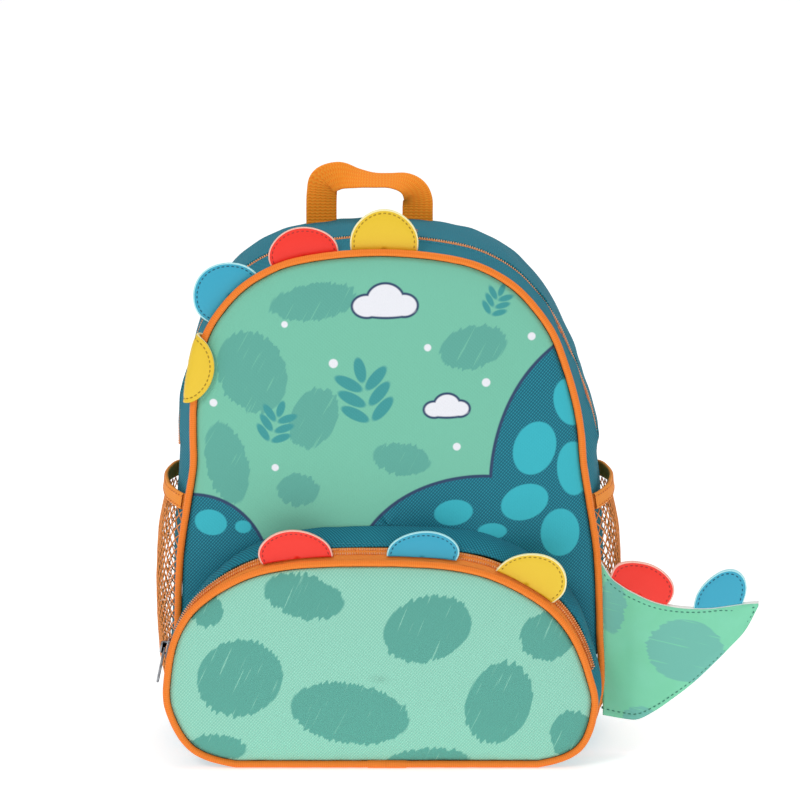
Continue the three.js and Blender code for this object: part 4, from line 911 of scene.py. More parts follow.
makePocketGusset(pocketSettings)
pocketPanelSettings = dict(panelSettings, round=420, rings=36,
                           middle=(pocket["shift"], 0.45 * pocket["height"]), soft=0.7, roll=1.3)
makePanel("pocketFront", pocketArch, pocketPanelSettings, pocket["crown"], pocketY, pocketPrint,
          "pocket_front", 23, [(-70, 60, 30, 40, 0.8), (50, 40, 34, 30, -0.9)])
makePiping("pocketPiping", pocketArch, pocketY, "pocket_piping", pipingSettings, joined=True)
pocketZip = pocketZipRange()
makeZipper("pocketZip", pocketPlace, pocketArch, pocketZip[0], pocketZip[1], 0.0,
           pocketSettings["zipShare"], 0.67, "pocket_zipper")
print("front pocket made")


# Metal and plastic pieces keep their solids, with softened edges.

def softenNode(name, source, material, body, width=0.25):
    mesh = nodes[source].data.copy()
    mesh.name = name
    shape = bmesh.new()
    shape.from_mesh(mesh)
    bmesh.ops.remove_doubles(shape, verts=shape.verts, dist=1e-6)
    bmesh.ops.dissolve_limit(shape, angle_limit=math.radians(1), verts=shape.verts, edges=shape.edges)
    shape.to_mesh(mesh)
    shape.free()
    mesh.materials.clear()
    mesh.materials.append(material)
    piece = bpy.data.objects.new(name, mesh)
    scene.collection.objects.link(piece)
    bevel = piece.modifiers.new("edge", "BEVEL")
    bevel.width = width * mm
    bevel.segments = 2
    bevel.limit_method = "ANGLE"
    bevel.angle_limit = math.radians(30)
    mesh.shade_smooth()
    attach(piece, body)
    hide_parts(source)


for label, pullBody in (("main", "main_pull_body"), ("pocket", "pocket_pull_body")):
    softenNode(f"{label}Slider", f"{label}_zip_slider", nickel, "bag")
    softenNode(f"{label}Pull", f"{label}_zip_pull", nickel, pullBody, 0.35)
print("sliders and pulls made")

# Plates.

plateSettings = {"thickness": 2.0, "width": 41.0, "height": 24.0,
                 "rim": 44, "rings": 12, "stitchInset": 2.6, "groove": 0.35, "puff": 0.5,
                 "stitchPitch": 3.0, "stitchSize": (2.2, 0.95, 0.6)}


def halfAt(level):
    return np.sqrt(np.maximum(1 - level ** 2.4, 0)) * (1 + 0.06 * np.sin(np.pi * level))


def plateRim(count):
    # The outline from the right foot over the top to the left foot, in shares of half width and height.
    level = np.sin(np.linspace(0, np.pi / 2, count // 2 + 1))
    right = np.stack([halfAt(level), level], -1)
    return np.vstack([right, (right * [-1, 1])[:-1][::-1]])


def standing(lean):
    return lambda way: (way, lean * way * np.maximum(way, 0) / plateSettings["height"])


def foldedOver(radius):
    turn = math.pi * 0.98 * radius

    def rise(way):
        angle = np.clip(way, 0, turn) / radius
        past = np.maximum(way - turn, 0)
        out = np.sin(angle) * radius + np.cos(angle) * past + np.minimum(way, 0)
        return out, (1 - np.cos(angle)) * radius + np.sin(angle) * past
    return rise


def makePlate(name, node, baseAt, normal, width, height, slant, rise, colour, body="bag"):
    settings = plateSettings
    rim = plateRim(settings["rim"])
    rings = 1 - np.linspace(1, 0, settings["rings"]) ** 1.35
    grids = []

    def place(along, level, side, thick):
        step = 0.05
        way = level * height
        out, forward = rise(way)
        aheadOut, aheadForward = rise(way + step)
        backOut, backForward = rise(way - step)
        du, dv = aheadOut - backOut, aheadForward - backForward
        size = np.hypot(du, dv)
        du, dv = du / size, dv / size
        out = out - dv * side * thick
        forward = forward + du * side * thick
        base = baseAt(along + slant * level * height)
        return base + normal * out[..., None] + np.array([0, -1.0, 0]) * forward[..., None]

    for side in (1, -1):
        gridU = rim[:, None, 0] * rings[None, :]
        gridL = rim[:, None, 1] * rings[None, :]
        inset = (1 - rings)[None, :] * np.hypot(rim[:, None, 0] * width / 2, rim[:, None, 1] * height)
        thick = settings["thickness"] / 2 - 0.15 * np.exp(-inset / 0.6)
        groove = np.exp(-((inset - settings["stitchInset"]) / 0.8) ** 2) * (gridL > 0.05)
        thick = thick - settings["groove"] * groove
        inside = np.maximum(inset - settings["stitchInset"], 0)
        thick = thick + settings["puff"] * (1 - np.exp(-inside / 5)) * gridL ** 0.3
        grids.append(place(gridU * width / 2, gridL, side, thick))
    count, ringCount = grids[0].shape[:2]
    points = np.vstack([grids[0].reshape(-1, 3), grids[1].reshape(-1, 3)])
    shift = count * ringCount
    faces = [tuple(reversed(f)) for f in gridFaces(count, ringCount)]
    faces += gridFaces(count, ringCount, first=shift)
    edgeFrom = len(faces)
    for i in range(count - 1):
        a, b = i * ringCount + ringCount - 1, (i + 1) * ringCount + ringCount - 1
        faces.append((a, b, b + shift, a + shift))
    base = list(range(ringCount))
    other = [(count - 1) * ringCount + j for j in range(ringCount)]
    for line in (base, other):
        for a, b in zip(line[:-1], line[1:]):
            faces.append((a, b, b + shift, a + shift))
    piece = meshObject(name, points, faces, [leather[colour], leatherEdge[colour]])
    for k, polygon in enumerate(piece.data.polygons):
        # the back layer's pale edge stands a little over the front one
        inRim = k < (count - 1) * (ringCount - 1) and k % (ringCount - 1) == ringCount - 2
        polygon.material_index = 1 if k >= edgeFrom or inRim else 0
    recalcOutwards(piece)
    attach(piece, body)
    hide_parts(node)
    # stitches a little inside the rim, on both faces
    inner = rim[2:-2]
    share = 1 - settings["stitchInset"] / np.hypot(inner[:, 0] * width / 2, inner[:, 1] * height)
    share = np.clip(share, 0.1, 1)
    gridU, gridL = inner[:, 0] * share * width / 2, inner[:, 1] * share
    paths = []
    for side in (1, -1):
        seat = settings["thickness"] / 2 - settings["groove"] * 0.7
        line = place(gridU, gridL, side, seat + 0 * gridL)
        away = place(gridU, gridL, side, seat + 1 + 0 * gridL) - line
        paths.append((line, away, False))
    repeatAlong(name + "Stitches", paths, settings["stitchPitch"], settings["stitchSize"],
                thread[colour])


def seamPlate(name, node, outline, placeAt, depth, depthAt, seat, station, size, colour, rise):
    thick = plateSettings["thickness"]
    front = bag["piping"] + 2 * bag["gap"]
    backShare = (thick + 2 * bag["gap"]) / depth
    normal = normalAt(outline, np.array(station))

    def baseAt(along):
        s = station + along / outline.length
        place = placeAt(s, backShare + 0 * s, seat)
        place[..., 1] = depthAt(outline.at(s)[1]) + front + thick / 2
        return place
    makePlate(name, node, baseAt, normal, size[0] * plateSettings["width"],
              size[1] * plateSettings["height"], size[2], rise, colour)


# Stations on the arch and sizes as the solids have them: width, height, slant.
for node, at, size, colour, rise in (
        ("plate_main_yellow", 0.498, (1, 1.06, 0), "yellow", standing(-0.06)),
        ("plate_main_red", 0.546, (1.03, 0.78, 0.1), "red", standing(-0.1)),
        ("plate_main_blue", 0.597, (1.03, 0.93, 0.12), "blue", standing(-0.1)),
        ("plate_main_folded", 0.6465, (1.05, 1.04, 0), "yellow", foldedOver(4.4))):
    seamPlate(node.replace("plate_", "scale_"), node, arch, gussetPlace, bag["depth"], frontY, bag["gap"],
              at, size, colour, rise)
for node, at, size, colour in (("plate_pocket_red", 0.568, (1.06, 0.78, 0.25), "red"),
                               ("plate_pocket_blue", 0.4555, (1.04, 0.7, -0.25), "blue"),
                               ("plate_pocket_yellow", 0.3575, (0.98, 0.97, -0.3), "yellow")):
    seamPlate(node.replace("plate_", "scale_"), node, pocketArch, pocketPlace, pocket["depth"], pocketY,
              0.5 + 2 * bag["gap"], at, size, colour, standing(0.05))
print("plates made")

# Tail.

tailSettings = {"length": 98.0, "rise": 102.0, "base": 22.0, "thickness": 3.0, "forward": 14.0,
                "straight": 51.2, "plateWidth": 40.0, "plateHeight": 21.0, "plateLift": 0.7, "columns": 90,
                "rows": 40, "seamInset": 3.2, "stitchPitch": 3.4, "stitchSize": (2.3, 1.0, 0.6)}
tailRows = {"out": [0, 0.06, 0.14, 0.22, 0.33, 0.45, 0.58, 0.7, 0.82, 0.93, 1],
            "top": [1, 0.9, 0.835, 0.795, 0.75, 0.724, 0.715, 0.72, 0.74, 0.76, 0.767],
            "bottom": [0.02, 0.01, 0, 0, 0.055, 0.14, 0.243, 0.357, 0.48, 0.61, 0.747],
            "forward": [0, 0.02, 0.1, 0.24, 0.36, 0.46, 0.57, 0.68, 0.8, 0.92, 1]}


def tailPlace(out, up):
    value = lambda key: smoothTable(list(zip(tailRows["out"], tailRows[key])), out)
    settings = tailSettings
    z = settings["base"] + settings["rise"] * (value("bottom") + (value("top") - value("bottom")) * up)
    seam = gussetPlace(arch.station(np.maximum(z, settings["straight"]), 1), 0.05, bag["gap"])[..., 0]
    seatY = frontY(settings["base"] + settings["rise"] / 2) + bag["piping"] + bag["gap"]
    seatY = seatY + settings["thickness"] / 2
    tip = bag["half"] + settings["length"]
    return np.stack([seam + (tip - seam) * out, seatY - settings["forward"] * value("forward"),
                     z + 0 * seam], -1)


def tailFace(out, up):
    way = tailPlace(np.minimum(out + 0.02, 1), up) - tailPlace(np.maximum(out - 0.02, 0), up)
    way[..., 2] = 0
    way /= np.linalg.norm(way, axis=-1, keepdims=True)
    return np.stack([way[..., 1], -way[..., 0], 0 * way[..., 0]], -1)


def makeTail(settings):
    columns, rows = settings["columns"], settings["rows"]
    gridU, gridV = np.meshgrid(np.linspace(0, 1, columns), np.linspace(0, 1, rows), indexing="ij")
    middle, face = tailPlace(gridU, gridV), tailFace(gridU, gridV)
    half = settings["thickness"] / 2
    edge = np.minimum(np.minimum(gridV, 1 - gridV) * settings["rise"] * 0.7,
                      (1 - gridU) * settings["length"])
    rounded = 0.35 * np.exp(-edge / 0.8)
    groove = 0.3 * np.exp(-((edge - settings["seamInset"]) / 0.8) ** 2)
    soft = 0.5 * softNoise(gridU * 98, gridV * 80, 60, 9) * np.minimum(edge / 12, 1)
    front = middle + face * (half - rounded - groove + soft)[..., None]
    back = middle - face * (half - rounded - groove - soft)[..., None]
    back[..., 2] += 0.9 * np.exp(-(1 - gridV) * 40)  # the back layer stands a little over the front one
    points = np.vstack([front.reshape(-1, 3), back.reshape(-1, 3)])
    shift = columns * rows
    faces = gridFaces(columns, rows) + [tuple(reversed(f)) for f in gridFaces(columns, rows, first=shift)]
    rimFrom = len(faces)
    place = lambda i, j: i * rows + j
    rim = ([place(i, 0) for i in range(columns)] + [place(columns - 1, j) for j in range(1, rows)]
           + [place(i, rows - 1) for i in range(columns - 2, -1, -1)]
           + [place(0, j) for j in range(rows - 2, 0, -1)])
    for a, b in zip(rim, rim[1:] + rim[:1]):
        faces.append((a, b, b + shift, a + shift))
    piece = meshObject("tail", points, faces, [tailLeather, whiteEdge])
    for k, polygon in enumerate(piece.data.polygons):
        polygon.material_index = 1 if k >= rimFrom else 0
    recalcOutwards(piece)
    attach(piece, "bag")
    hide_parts("tail")
    paths = []
    inset = settings["seamInset"] / settings["rise"] * 1.4
    for side in (1, -1):
        for up, start, stop in ((1 - inset, 0.03, 0.97), (inset, 0.0, 0.97)):
            out = np.linspace(start, stop, 160)
            level = np.full_like(out, up)
            near = np.clip((1 - out) / 0.25, 0, 1)
            level = 0.5 + (level - 0.5) * near ** 0.4
            away = tailFace(out, level) * side
            paths.append((tailPlace(out, level) + away * (half - 0.22), away, False))
    repeatAlong("tailStitches", paths, settings["stitchPitch"], settings["stitchSize"], thread["green"])


makeTail(tailSettings)


def makeTailPlate(name, node, centre, size, colour):
    settings = tailSettings
    wide, high = size[0] * settings["plateWidth"], size[1] * settings["plateHeight"]
    step = wide / 2 / settings["length"]
    tangent = tailPlace(np.array(min(centre + step, 1)), 1) - tailPlace(np.array(centre - step), 1)
    tangent = tangent / np.linalg.norm(tangent)
    normal = np.array([-tangent[2], 0, tangent[0]])

    def baseAt(along):
        place = tailPlace(np.clip(centre + along * tangent[0] / settings["length"], 0.01, 1), 1)
        place[..., 2] += settings["plateLift"]
        return place
    makePlate(name, node, baseAt, normal, wide, high, size[2], standing(0.02), colour)


makeTailPlate("scale_tail_red", "plate_tail_red", 0.245, (1, 1, 0), "red")
makeTailPlate("scale_tail_blue", "plate_tail_blue", 0.745, (0.78, 1.1, 0.38), "blue")
print("tail made")

# Mesh side pockets.

netSettings = {"top": 155.0, "bottom": 22.0, "standOff": 10.0, "from": 0.04, "to": 0.96, "yarn": 0.42,
               "columns": 30, "rows": 34, "band": 10.0, "bandThick": 2.4, "stitchPitch": 3.0,
               "stitchSize": (2.1, 0.6, 0.5)}
pouchRows = [(0, 0), (0.2, 0.5), (0.45, 0.92), (0.65, 1), (0.85, 0.86), (1, 0.62), (1.1, 0.55)]


def netPlace(side, share, z, out):
    settings = netSettings
    climb = (z - settings["bottom"]) / (settings["top"] - settings["bottom"])
    belly = np.sin(np.pi * np.clip(share, 0, 1)) ** 0.65
    stand = settings["standOff"] * belly * smoothTable(pouchRows, climb)
    depth = settings["from"] + (settings["to"] - settings["from"]) * share
    return gussetPlace(arch.station(z, side), depth, bag["gap"] + stand + out)


def makeNet(label, side, settings):
    # Diamonds: every second point of a grid, joined slantwise, with a hem at the sides and the bottom.
    columns, rows = settings["columns"], settings["rows"]
    gridI, gridJ = np.meshgrid(np.arange(columns + 1), np.arange(rows + 1), indexing="ij")
    share, climb = gridI / columns, gridJ / rows
    z = settings["bottom"] + (settings["top"] - settings["bottom"]) * climb
    sway = 0.35 * softNoise(share * 80, z, 17, 6)
    points = netPlace(side, share, z, settings["yarn"] + sway)
    number = lambda i, j: i * (rows + 1) + j
    edges = []
    for i in range(columns):
        for j in range(rows):
            if (i + j) % 2 == 0:
                edges.append((number(i, j), number(i + 1, j + 1)))
            else:
                edges.append((number(i + 1, j), number(i, j + 1)))
    for j in range(rows):
        edges += [(number(0, j), number(0, j + 1)), (number(columns, j), number(columns, j + 1))]
    edges += [(number(i, 0), number(i + 1, 0)) for i in range(columns)]
    piece = runTree(f"net_{label}_yarn", points.reshape(-1, 3), edges, None, netTree, {
        netIds["Radius"]: settings["yarn"] * mm, netIds["Finish"]: orangeNet})
    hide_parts(f"net_{label}")


def makeBand(label, side, settings):
    # Folded tape over the net's upper edge: rounded at the top, with two rows of stitches.
    around = np.linspace(0, 2 * np.pi, 29)
    share = np.linspace(0, 1, 70)
    gridS, gridA = np.meshgrid(share, around, indexing="ij")
    tall, thick = settings["band"] / 2, settings["bandThick"] / 2
    z = settings["top"] + bag["gap"] + tall + tall * signedPower(np.sin(gridA), 0.35)
    z = z + 0.5 * softNoise(gridS * 80, 0 * gridS, 26, 2) * (np.sin(gridA) > 0)
    out = thick + thick * signedPower(np.cos(gridA), 0.6) + 0.25 * softNoise(gridS * 80, z, 14, 7)
    grid = netPlace(side, gridS, z, np.maximum(out, 0))
    uv = np.stack([gridS * 90, z - settings["top"] + out], -1) * mm
    middle = netPlace(side, gridS, settings["top"] + tall + 0 * z, thick + 0 * z)
    piece = clothGrid(f"net_{label}_band", grid, bandCloth, uv, 0, grid - middle)
    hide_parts(f"net_band_{label}")
    paths = []
    for level in (1.6, settings["band"] - 1.8):
        line = netPlace(side, share, settings["top"] + bag["gap"] + level + 0 * share,
                        settings["bandThick"] + 0.12 + 0 * share)
        paths.append((line, netPlace(side, share, settings["top"] + level + 0 * share,
                                     settings["bandThick"] + 2 + 0 * share) - line, False))
    repeatAlong(f"net_{label}_bandStitches", paths, settings["stitchPitch"], settings["stitchSize"],
                thread["orange"])


for label, side in (("left", -1), ("right", 1)):
    makeNet(label, side, netSettings)
    makeBand(label, side, netSettings)
print("side pockets made")

# Webbing pieces: a path of places with a direction across each of them.


webbingSettings = {"steps": 30, "around": 33, "edgePower": 0.45, "facePower": 0.75}


def smoothPath(points, count):
    # Centripetal curve through the points, count places evenly along it.
    points = np.asarray(points, float)
    padded = np.vstack([2 * points[0] - points[1], points, 2 * points[-1] - points[-2]])
    line = np.vstack([curvePart(padded[k:k + 4], webbingSettings["steps"]) for k in range(len(points) - 1)]
                     + [points[-1:]])
    reach = np.concatenate([[0], np.cumsum(np.linalg.norm(np.diff(line, axis=0), axis=1))])
    even = np.linspace(0, reach[-1], count)
    return np.stack([np.interp(even, reach, line[:, k]) for k in range(line.shape[1])], -1), reach[-1]


def webbingStrip(name, places, across, length, width, thickness, material, rib=0.1, ribPitch=2.0):
    # A closed flat band with rounded edges and ribs across it.
    count = len(places)
    along = unitRows(np.gradient(places, axis=0))
    across = unitRows(across - along * (across * along).sum(1, keepdims=True))
    face = np.cross(along, across)
    angle = np.linspace(0, 2 * np.pi, webbingSettings["around"])
    side = signedPower(np.cos(angle), webbingSettings["edgePower"])
    up = signedPower(np.sin(angle), webbingSettings["facePower"])
    reach = np.linspace(0, length, count)
    ribs = rib * np.sin(reach * 2 * np.pi / ribPitch)
    grid = (places[:, None] + across[:, None] * (side * width / 2)[None, :, None]
            + face[:, None] * (up[None, :] * (thickness / 2 + ribs[:, None]))[..., None])
    outward = across[:, None] * side[None, :, None] * 0.1 + face[:, None] * up[None, :, None]
    uv = np.stack(np.broadcast_arrays(reach[:, None], (side * width / 2)[None]), -1) * mm
    piece = clothGrid(name, grid, material, uv, 0, outward)
    shape = bmesh.new()
    shape.from_mesh(piece.data)
    bmesh.ops.remove_doubles(shape, verts=shape.verts, dist=1e-6)
    bmesh.ops.holes_fill(shape, edges=[e for e in shape.edges if e.is_boundary], sides=0)
    bmesh.ops.recalc_face_normals(shape, faces=shape.faces)
    shape.to_mesh(piece.data)
    shape.free()
    piece.data.shade_smooth()
    return piece


handleSettings = {"width": 19.0, "thickness": 1.8, "span": 60.0, "rise": 29.0, "shift": -12.0,
                  "turn": -74.0, "stations": 300, "turnScale": 40}
handleRows = [(-1, 0, 0), (-1, 0.35, 0), (-0.99, 0.62, 0.08), (-0.95, 0.86, 0.22), (-0.66, 1, 0.46),
              (-0.25, 0.95, 0.85), (0.1, 0.9, 1), (0.42, 0.89, 1), (0.72, 0.83, 0.8), (0.93, 0.64, 0.45),
              (1, 0.4, 0.12), (1, 0.2, 0), (1, 0, 0)]


def topHeightAt(x):
    s = np.linspace(0.35, 0.65, 601)
    back = gussetPlace(s, 1.0 + 0 * s)
    return np.interp(x, back[::-1, 0], back[::-1, 2])


def makeHandle(settings):
    y = backY - settings["thickness"] - bag["gap"]
    rows = []
    for out, up, flat in handleRows:
        side = -1 if out < 0 else 1
        footX = settings["shift"] + side * (settings["span"] - settings["width"]) / 2
        foot = topHeightAt(footX) + bag["gap"]
        foot = foot if up > 0 else foot - 4  # the ends reach down into the seam
        top = bag["height"] + settings["rise"]
        rows.append((settings["shift"] + out * settings["span"] / 2, y, foot + (top - foot) * up,
                     flat * settings["turnScale"]))
    path, length = smoothPath(rows, settings["stations"])
    places, flat = path[:, :3], path[:, 3] / settings["turnScale"]
    along = unitRows(np.gradient(places, axis=0))
    turn = np.radians(settings["turn"]) * flat
    across = np.stack([along[:, 2] * np.cos(turn), np.sin(turn), -along[:, 0] * np.cos(turn)], -1)
    piece = webbingStrip("topHandle", places, across, length, settings["width"], settings["thickness"],
                         orangeWebbing)
    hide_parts("top_handle")


makeHandle(handleSettings)
print("handle made")

# Padded back and shoulder straps: the panels are blown up a little between their seams.

padSettings = {"voxel": 0.004, "pressure": 4.0, "frames": 20, "stiffness": 15.0, "cap": 0.004}


def swell(piece, pinned, settings):
    # Cloth simulation of the pad; points in pinned stay, and none moves further than the cap.
    start = np.array([v.co[:] for v in piece.data.vertices])
    group = piece.vertex_groups.new(name="seams")
    group.add([int(k) for k in np.where(pinned)[0]], 1.0, "REPLACE")
    modifier = piece.modifiers.new("pad", "CLOTH")
    modifier.settings.quality = 5
    modifier.settings.use_pressure = True
    modifier.settings.uniform_pressure_force = settings["pressure"]
    modifier.settings.tension_stiffness = settings["stiffness"]
    modifier.settings.compression_stiffness = settings["stiffness"]
    modifier.settings.vertex_group_mass = "seams"
    modifier.settings.effector_weights.gravity = 0
    modifier.collision_settings.use_collision = False
    for frameNumber in range(1, settings["frames"] + 1):
        scene.frame_set(frameNumber)
    swollen = piece.evaluated_get(bpy.context.evaluated_depsgraph_get()).to_mesh()
    end = np.array([v.co[:] for v in swollen.vertices])
    piece.modifiers.remove(modifier)
    scene.frame_set(1)
    moved = end - start
    size = np.linalg.norm(moved, axis=1, keepdims=True)
    moved *= np.minimum(1, settings["cap"] / np.maximum(size, 1e-9))
    piece.data.vertices.foreach_set("co", (start + moved).ravel())
    piece.data.update()


def remeshed(name, points, faces, voxel):
    rough = meshObject(name + "Rough", points, faces, strapCloth)
    recalcOutwards(rough)
    modifier = rough.modifiers.new("even", "REMESH")
    modifier.mode = "VOXEL"
    modifier.voxel_size = voxel
    mesh = bpy.data.meshes.new_from_object(rough.evaluated_get(bpy.context.evaluated_depsgraph_get()))
    bpy.data.objects.remove(rough)
    mesh.materials.clear()
    mesh.materials.append(strapCloth)
    piece = bpy.data.objects.new(name, mesh)
    scene.collection.objects.link(piece)
    mesh.shade_smooth()
    return piece


def finishPad(piece, node):
    smoother = piece.modifiers.new("smooth", "SUBSURF")
    smoother.levels = smoother.render_levels = 1
    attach(piece, "bag")
    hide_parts(node)


backSettings = {"rings": 40, "round": 260, "padding": 8.0, "crown": 4.0, "channels": (-46.0, 46.0),
                "border": 11.0, "groove": 2.6, "grooveWide": 4}


def makeBackPanel(settings):
    s = np.arange(settings["round"]) / settings["round"]
    rim = gussetPlace(s, 1.0 + 0 * s)
    _, _, nx, nz = arch.at(s)
    inset = bag["cloth"] + bag["gap"]
    rimX, rimZ = rim[:, 0] - nx * inset, rim[:, 2] - nz * inset
    share = np.linspace(0.01, 1, settings["rings"])
    mx, mz = panelSettings["middle"]
    gridX = mx + (rimX - mx)[:, None] * share
    gridZ = mz + (rimZ - mz)[:, None] * share
    back = backY + settings["crown"] * (1 - share ** 2.2)[None, :] + 0 * gridX
    front = backY - settings["padding"] + 0 * gridX
    count = settings["round"]
    points = np.vstack([np.stack([gridX, back, gridZ], -1).reshape(-1, 3),
                        np.stack([gridX, front, gridZ], -1).reshape(-1, 3)])
    shift = count * settings["rings"]
    faces = gridFaces(count, settings["rings"], True)
    faces += [f[::-1] for f in gridFaces(count, settings["rings"], True, shift)]
    last = settings["rings"] - 1
    for i in range(count):
        a, b = i * settings["rings"] + last, (i + 1) % count * settings["rings"] + last
        faces.append((a, b, b + shift, a + shift))
    faces.append(tuple(i * settings["rings"] for i in range(count)))
    faces.append(tuple(shift + i * settings["rings"] for i in reversed(range(count))))
    piece = remeshed("backPanel", points, faces, padSettings["voxel"])
    place = np.array([v.co[:] for v in piece.data.vertices]) * 1000
    fromRim = np.min(np.hypot(place[:, None, 0] - rimX[None], place[:, None, 2] - rimZ[None]), axis=1)
    toChannel = np.min([np.abs(place[:, 0] - x) for x in settings["channels"]], axis=0)
    toChannel = np.where(fromRim < settings["border"], np.inf, toChannel)
    wide = settings["grooveWide"]
    groove = np.exp(-(toChannel / wide) ** 2) + np.exp(-((fromRim - settings["border"]) / wide) ** 2)
    outside = place[:, 1] > backY - settings["padding"] / 2
    place[:, 1] -= np.where(outside, settings["groove"] * np.minimum(groove, 1), 0)
    piece.data.vertices.foreach_set("co", (place * mm).ravel())
    swell(piece, (groove > 0.5) | ~outside | (fromRim < wide), padSettings)
    finishPad(piece, "back_panel")


makeBackPanel(backSettings)
print("back panel made")

strapSettings = {"width": 46.0, "padding": 8.0, "topX": 38.0, "spread": 36.0, "drop": 196.0, "bow": 20.0,
                 "top": 300.0, "anchorX": 0.81 * bag["half"], "anchorZ": 26.0, "webbing": 20.0,
                 "webbingThick": 1.4, "adjuster": 3.0, "bar": 3.0, "middleBar": 4.0, "slot": 5.0,
                 "loop": 12.0, "bend": 0.9, "runIn": 14.0, "freeEnd": 42.0, "stations": 120, "around": 40,
                 "wideScale": 50, "seamAt": 0.78, "seamWide": 0.07, "seamDeep": 1.5}
strapRows = [(0, 0, 0, 1), (0.05, 0, 0.02, 1), (0.14, 0.03, 0.42, 1), (0.26, 0.12, 0.8, 1),
             (0.4, 0.28, 1, 1), (0.55, 0.48, 1.04, 0.98), (0.7, 0.68, 0.98, 0.94), (0.85, 0.86, 0.86, 0.88),
             (0.95, 0.96, 0.77, 0.8), (1, 1, 0.72, 0.6)]


def backSeat(x, z, width):
    # Outside of the back panel's solid, the highest over a width.
    mx, mz = panelSettings["middle"]
    s = np.linspace(0, 1, 720, endpoint=False)
    rim = gussetPlace(s, 1.0 + 0 * s)
    turn = np.arctan2(rim[:, 2] - mz, rim[:, 0] - mx)
    order = np.argsort(turn)
    reach = np.hypot(rim[:, 0] - mx, rim[:, 2] - mz)[order]
    best = 0
    for part in (-0.5, 0, 0.5):
        px = x + part * width
        edge = np.interp(np.arctan2(z - mz, px - mx), turn[order], reach, period=2 * np.pi)
        share = min(math.hypot(px - mx, z - mz) / edge, 1)
        best = max(best, backY + backSettings["crown"] * (1 - share ** 2.2))
    return best + bag["gap"]


def strapLine(side, settings):
    near = settings["adjuster"] / 2 + bag["gap"] + settings["webbingThick"] / 2
    far = near + settings["webbingThick"] + bag["gap"]
    anchorX = side * settings["anchorX"]
    anchor = np.array([anchorX, backSeat(anchorX, settings["anchorZ"], settings["webbing"])
                       + settings["webbingThick"] + far, settings["anchorZ"]])
    places = []
    for down, out, away, wide in strapRows:
        x = side * (settings["topX"] + settings["spread"] * out)
        z = settings["top"] - settings["drop"] * down
        y = backSeat(x, z, settings["width"]) + settings["padding"] / 2 + settings["bow"] * away
        places.append((x, y, z, wide * settings["wideScale"]))
    return np.array(places), anchor, near, far


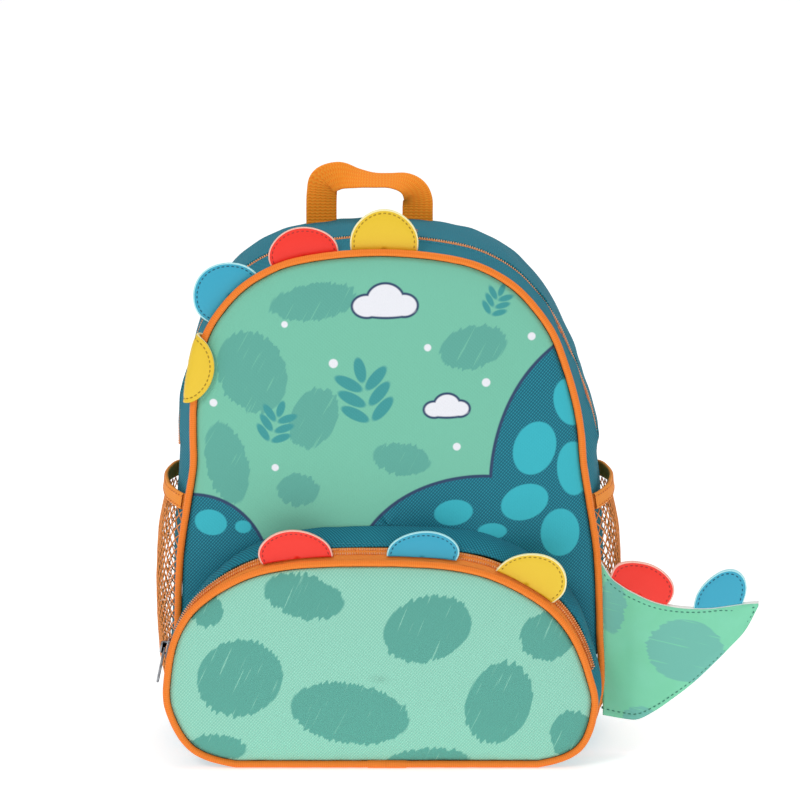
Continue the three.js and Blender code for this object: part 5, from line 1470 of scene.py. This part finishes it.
def makeStrap(label, side, settings):
    rows, anchor, near, far = strapLine(side, settings)
    path, length = smoothPath(rows, settings["stations"])
    places, wide = path[:, :3], path[:, 3] / settings["wideScale"]
    along = unitRows(np.gradient(places, axis=0))
    across = unitRows(np.array([1.0, 0, 0]) - along * along[:, :1])
    face = np.cross(along, across)
    around, last = settings["around"], settings["stations"] - 1
    angle = np.linspace(0, 2 * np.pi, around, endpoint=False)
    edge = signedPower(np.cos(angle), 0.5)
    up = signedPower(np.sin(angle), 0.7)
    grid = (places[:, None] + across[:, None]
            * (edge[None] * wide[:, None] * settings["width"] / 2)[..., None]
            + face[:, None] * (up * settings["padding"] / 2)[None, :, None])
    faces = [(i * around + j, (i + 1) * around + j, (i + 1) * around + (j + 1) % around,
              i * around + (j + 1) % around) for i in range(last) for j in range(around)]
    faces += [tuple(range(around)), tuple(last * around + j for j in reversed(range(around)))]
    piece = remeshed(f"shoulderStrap_{label}", grid.reshape(-1, 3), faces, padSettings["voxel"] * 0.65)
    place = np.array([v.co[:] for v in piece.data.vertices]) * 1000
    nearest = np.array([np.argmin(((places - p) ** 2).sum(1)) for p in place])
    offset = place - places[nearest]
    sideways = np.abs((offset * across[nearest]).sum(1)) / (wide[nearest] * settings["width"] / 2)
    # stitched channel inside the edge binding
    rim = np.exp(-((sideways - settings["seamAt"]) / settings["seamWide"]) ** 2)
    upper = np.sign((offset * face[nearest]).sum(1))
    place -= face[nearest] * (upper * settings["seamDeep"] * rim)[:, None]
    piece.data.vertices.foreach_set("co", (place * mm).ravel())
    reach = nearest / last
    swell(piece, (rim > 0.5) | (sideways > 0.86) | (reach < 0.04) | (reach > 0.96),
          dict(padSettings, cap=0.003))
    finishPad(piece, f"shoulder_strap_{label}")

    end = places[-1]
    way = unitRows(anchor - end)
    over = unitRows(np.array([1.0, 0, 0]) - way * way[0])
    out = unitRows(np.cross(over, way))
    out = out if out[1] > 0 else -out
    plane = lambda path: [end + way * t + out * n for t, n in path]
    bend, gap, thick = settings["bend"], bag["gap"], settings["webbingThick"]
    turnIn = settings["loop"] + settings["bar"] + gap + thick / 2
    loop = [(-6, near * 0.6), (gap, near), (turnIn / 2, near), (turnIn - bend, near), (turnIn, near - bend),
            (turnIn, 0), (turnIn, bend - near), (turnIn - bend, -near), (turnIn / 2, -near), (gap, -near),
            (-6, -near * 0.6)]
    barFrom = settings["loop"] + settings["bar"] + settings["slot"]
    barTo = barFrom + settings["middleBar"]
    turnOut = gap + thick / 2
    reachLength = np.linalg.norm(anchor - end)
    lower = [(reachLength, -far), (barTo + settings["runIn"], -far), (barFrom + 2 * bend, -far),
             (barFrom - turnOut + bend, bend - far), (barFrom - turnOut, 3 * bend - far),
             (barFrom - turnOut, 0), (barFrom - turnOut, near - bend), (barFrom - turnOut + bend, near),
             (barTo + turnOut - bend, near), (barTo + turnOut, near - bend), (barTo + turnOut, 0),
             (barTo + turnOut, bend - near), (barTo + turnOut + bend, -near),
             (barTo + settings["runIn"], -near), (barTo + settings["freeEnd"], -near)]
    for name, line, node in ((f"strapLoop_{label}", loop, f"strap_loop_{label}"),
                             (f"lowerWebbing_{label}", lower, f"lower_webbing_{label}")):
        steps = int(2.2 * sum(math.dist(a, b) for a, b in zip(line, line[1:])))
        route, total = smoothPath(plane(line), max(60, steps))
        strip = webbingStrip(name, route, np.tile(over, (len(route), 1)), total, settings["webbing"], thick,
                             tealWebbing, 0.08, 2.4)
        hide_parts(node)
    softenNode(f"strapAdjuster_{label}", f"strap_adjuster_{label}", tealPlastic, "bag", 0.5)


for label, side in (("left", -1), ("right", 1)):
    makeStrap(label, side, strapSettings)
print("straps made")

# Rows of stitches beside the zippers.

seamSettings = {"pitch": 3.2, "size": (2.2, 0.6, 0.45), "away": 2.2}


def zipStitches(name, placeAt, start, stop, shares, lift):
    s = np.linspace(start, stop, 500)
    paths = []
    for share in shares:
        line = placeAt(s, share + 0 * s, lift)
        paths.append((line, placeAt(s, share + 0 * s, lift + 1) - line, False))
    repeatAlong(name, paths, seamSettings["pitch"], seamSettings["size"], thread["teal"])


away = seamSettings["away"]
zipStitches("mainZipStitches", gussetPlace, mainZip[0], mainZip[1],
            (gussetSettings["zipFront"] - away / bag["depth"], zipBack + away / bag["depth"]), 0.35)
zipStitches("pocketZipStitches", pocketPlace, pocketZip[0], pocketZip[1],
            (pocketSettings["zipShare"] + away / pocket["depth"],), 0.3)
print("stitches made")


stageSettings = {"world": 0.45, "floorGlow": 0.5, "floor": [(-6, -4, 0), (6, -4, 0), (6, 8, 0), (-6, 8, 0)],
                 "lights": [("key", (-1.2, -1.9, 1.9), 0.7, 18), ("fill", (1.6, -1.5, 1.1), 1.6, 3),
                            ("top", (0.2, 0.3, 2.2), 1.5, 14)]}


def makeStage(settings):
    # A white floor that runs far back, a pale sky and three soft lights; the key is at the upper left.
    mesh = bpy.data.meshes.new("floor")
    mesh.from_pydata(settings["floor"], [], [(0, 1, 2, 3)])
    floor = bpy.data.objects.new("floor", mesh)
    scene.collection.objects.link(floor)
    material, _, shader = newMaterial("white paper floor")
    shader.inputs["Base Color"].default_value = hexColor("#F4F4F4")
    shader.inputs["Roughness"].default_value = 0.9
    shader.inputs["Emission Color"].default_value = (1, 1, 1, 1)
    shader.inputs["Emission Strength"].default_value = settings["floorGlow"]
    mesh.materials.append(material)
    world = bpy.data.worlds.new("studio")
    world.use_nodes = True
    world.node_tree.nodes["Background"].inputs["Color"].default_value = (1, 1, 1, 1)
    world.node_tree.nodes["Background"].inputs["Strength"].default_value = settings["world"]
    scene.world = world
    for name, place, size, power in settings["lights"]:
        data = bpy.data.lights.new(name, "AREA")
        data.size = size
        data.energy = power
        lamp = bpy.data.objects.new(name, data)
        lamp.location = place
        lamp.rotation_mode = "QUATERNION"
        lamp.rotation_quaternion = (Vector((0, 0, 0.15)) - Vector(place)).to_track_quat("-Z", "Y")
        scene.collection.objects.link(lamp)


makeStage(stageSettings)
print("done")
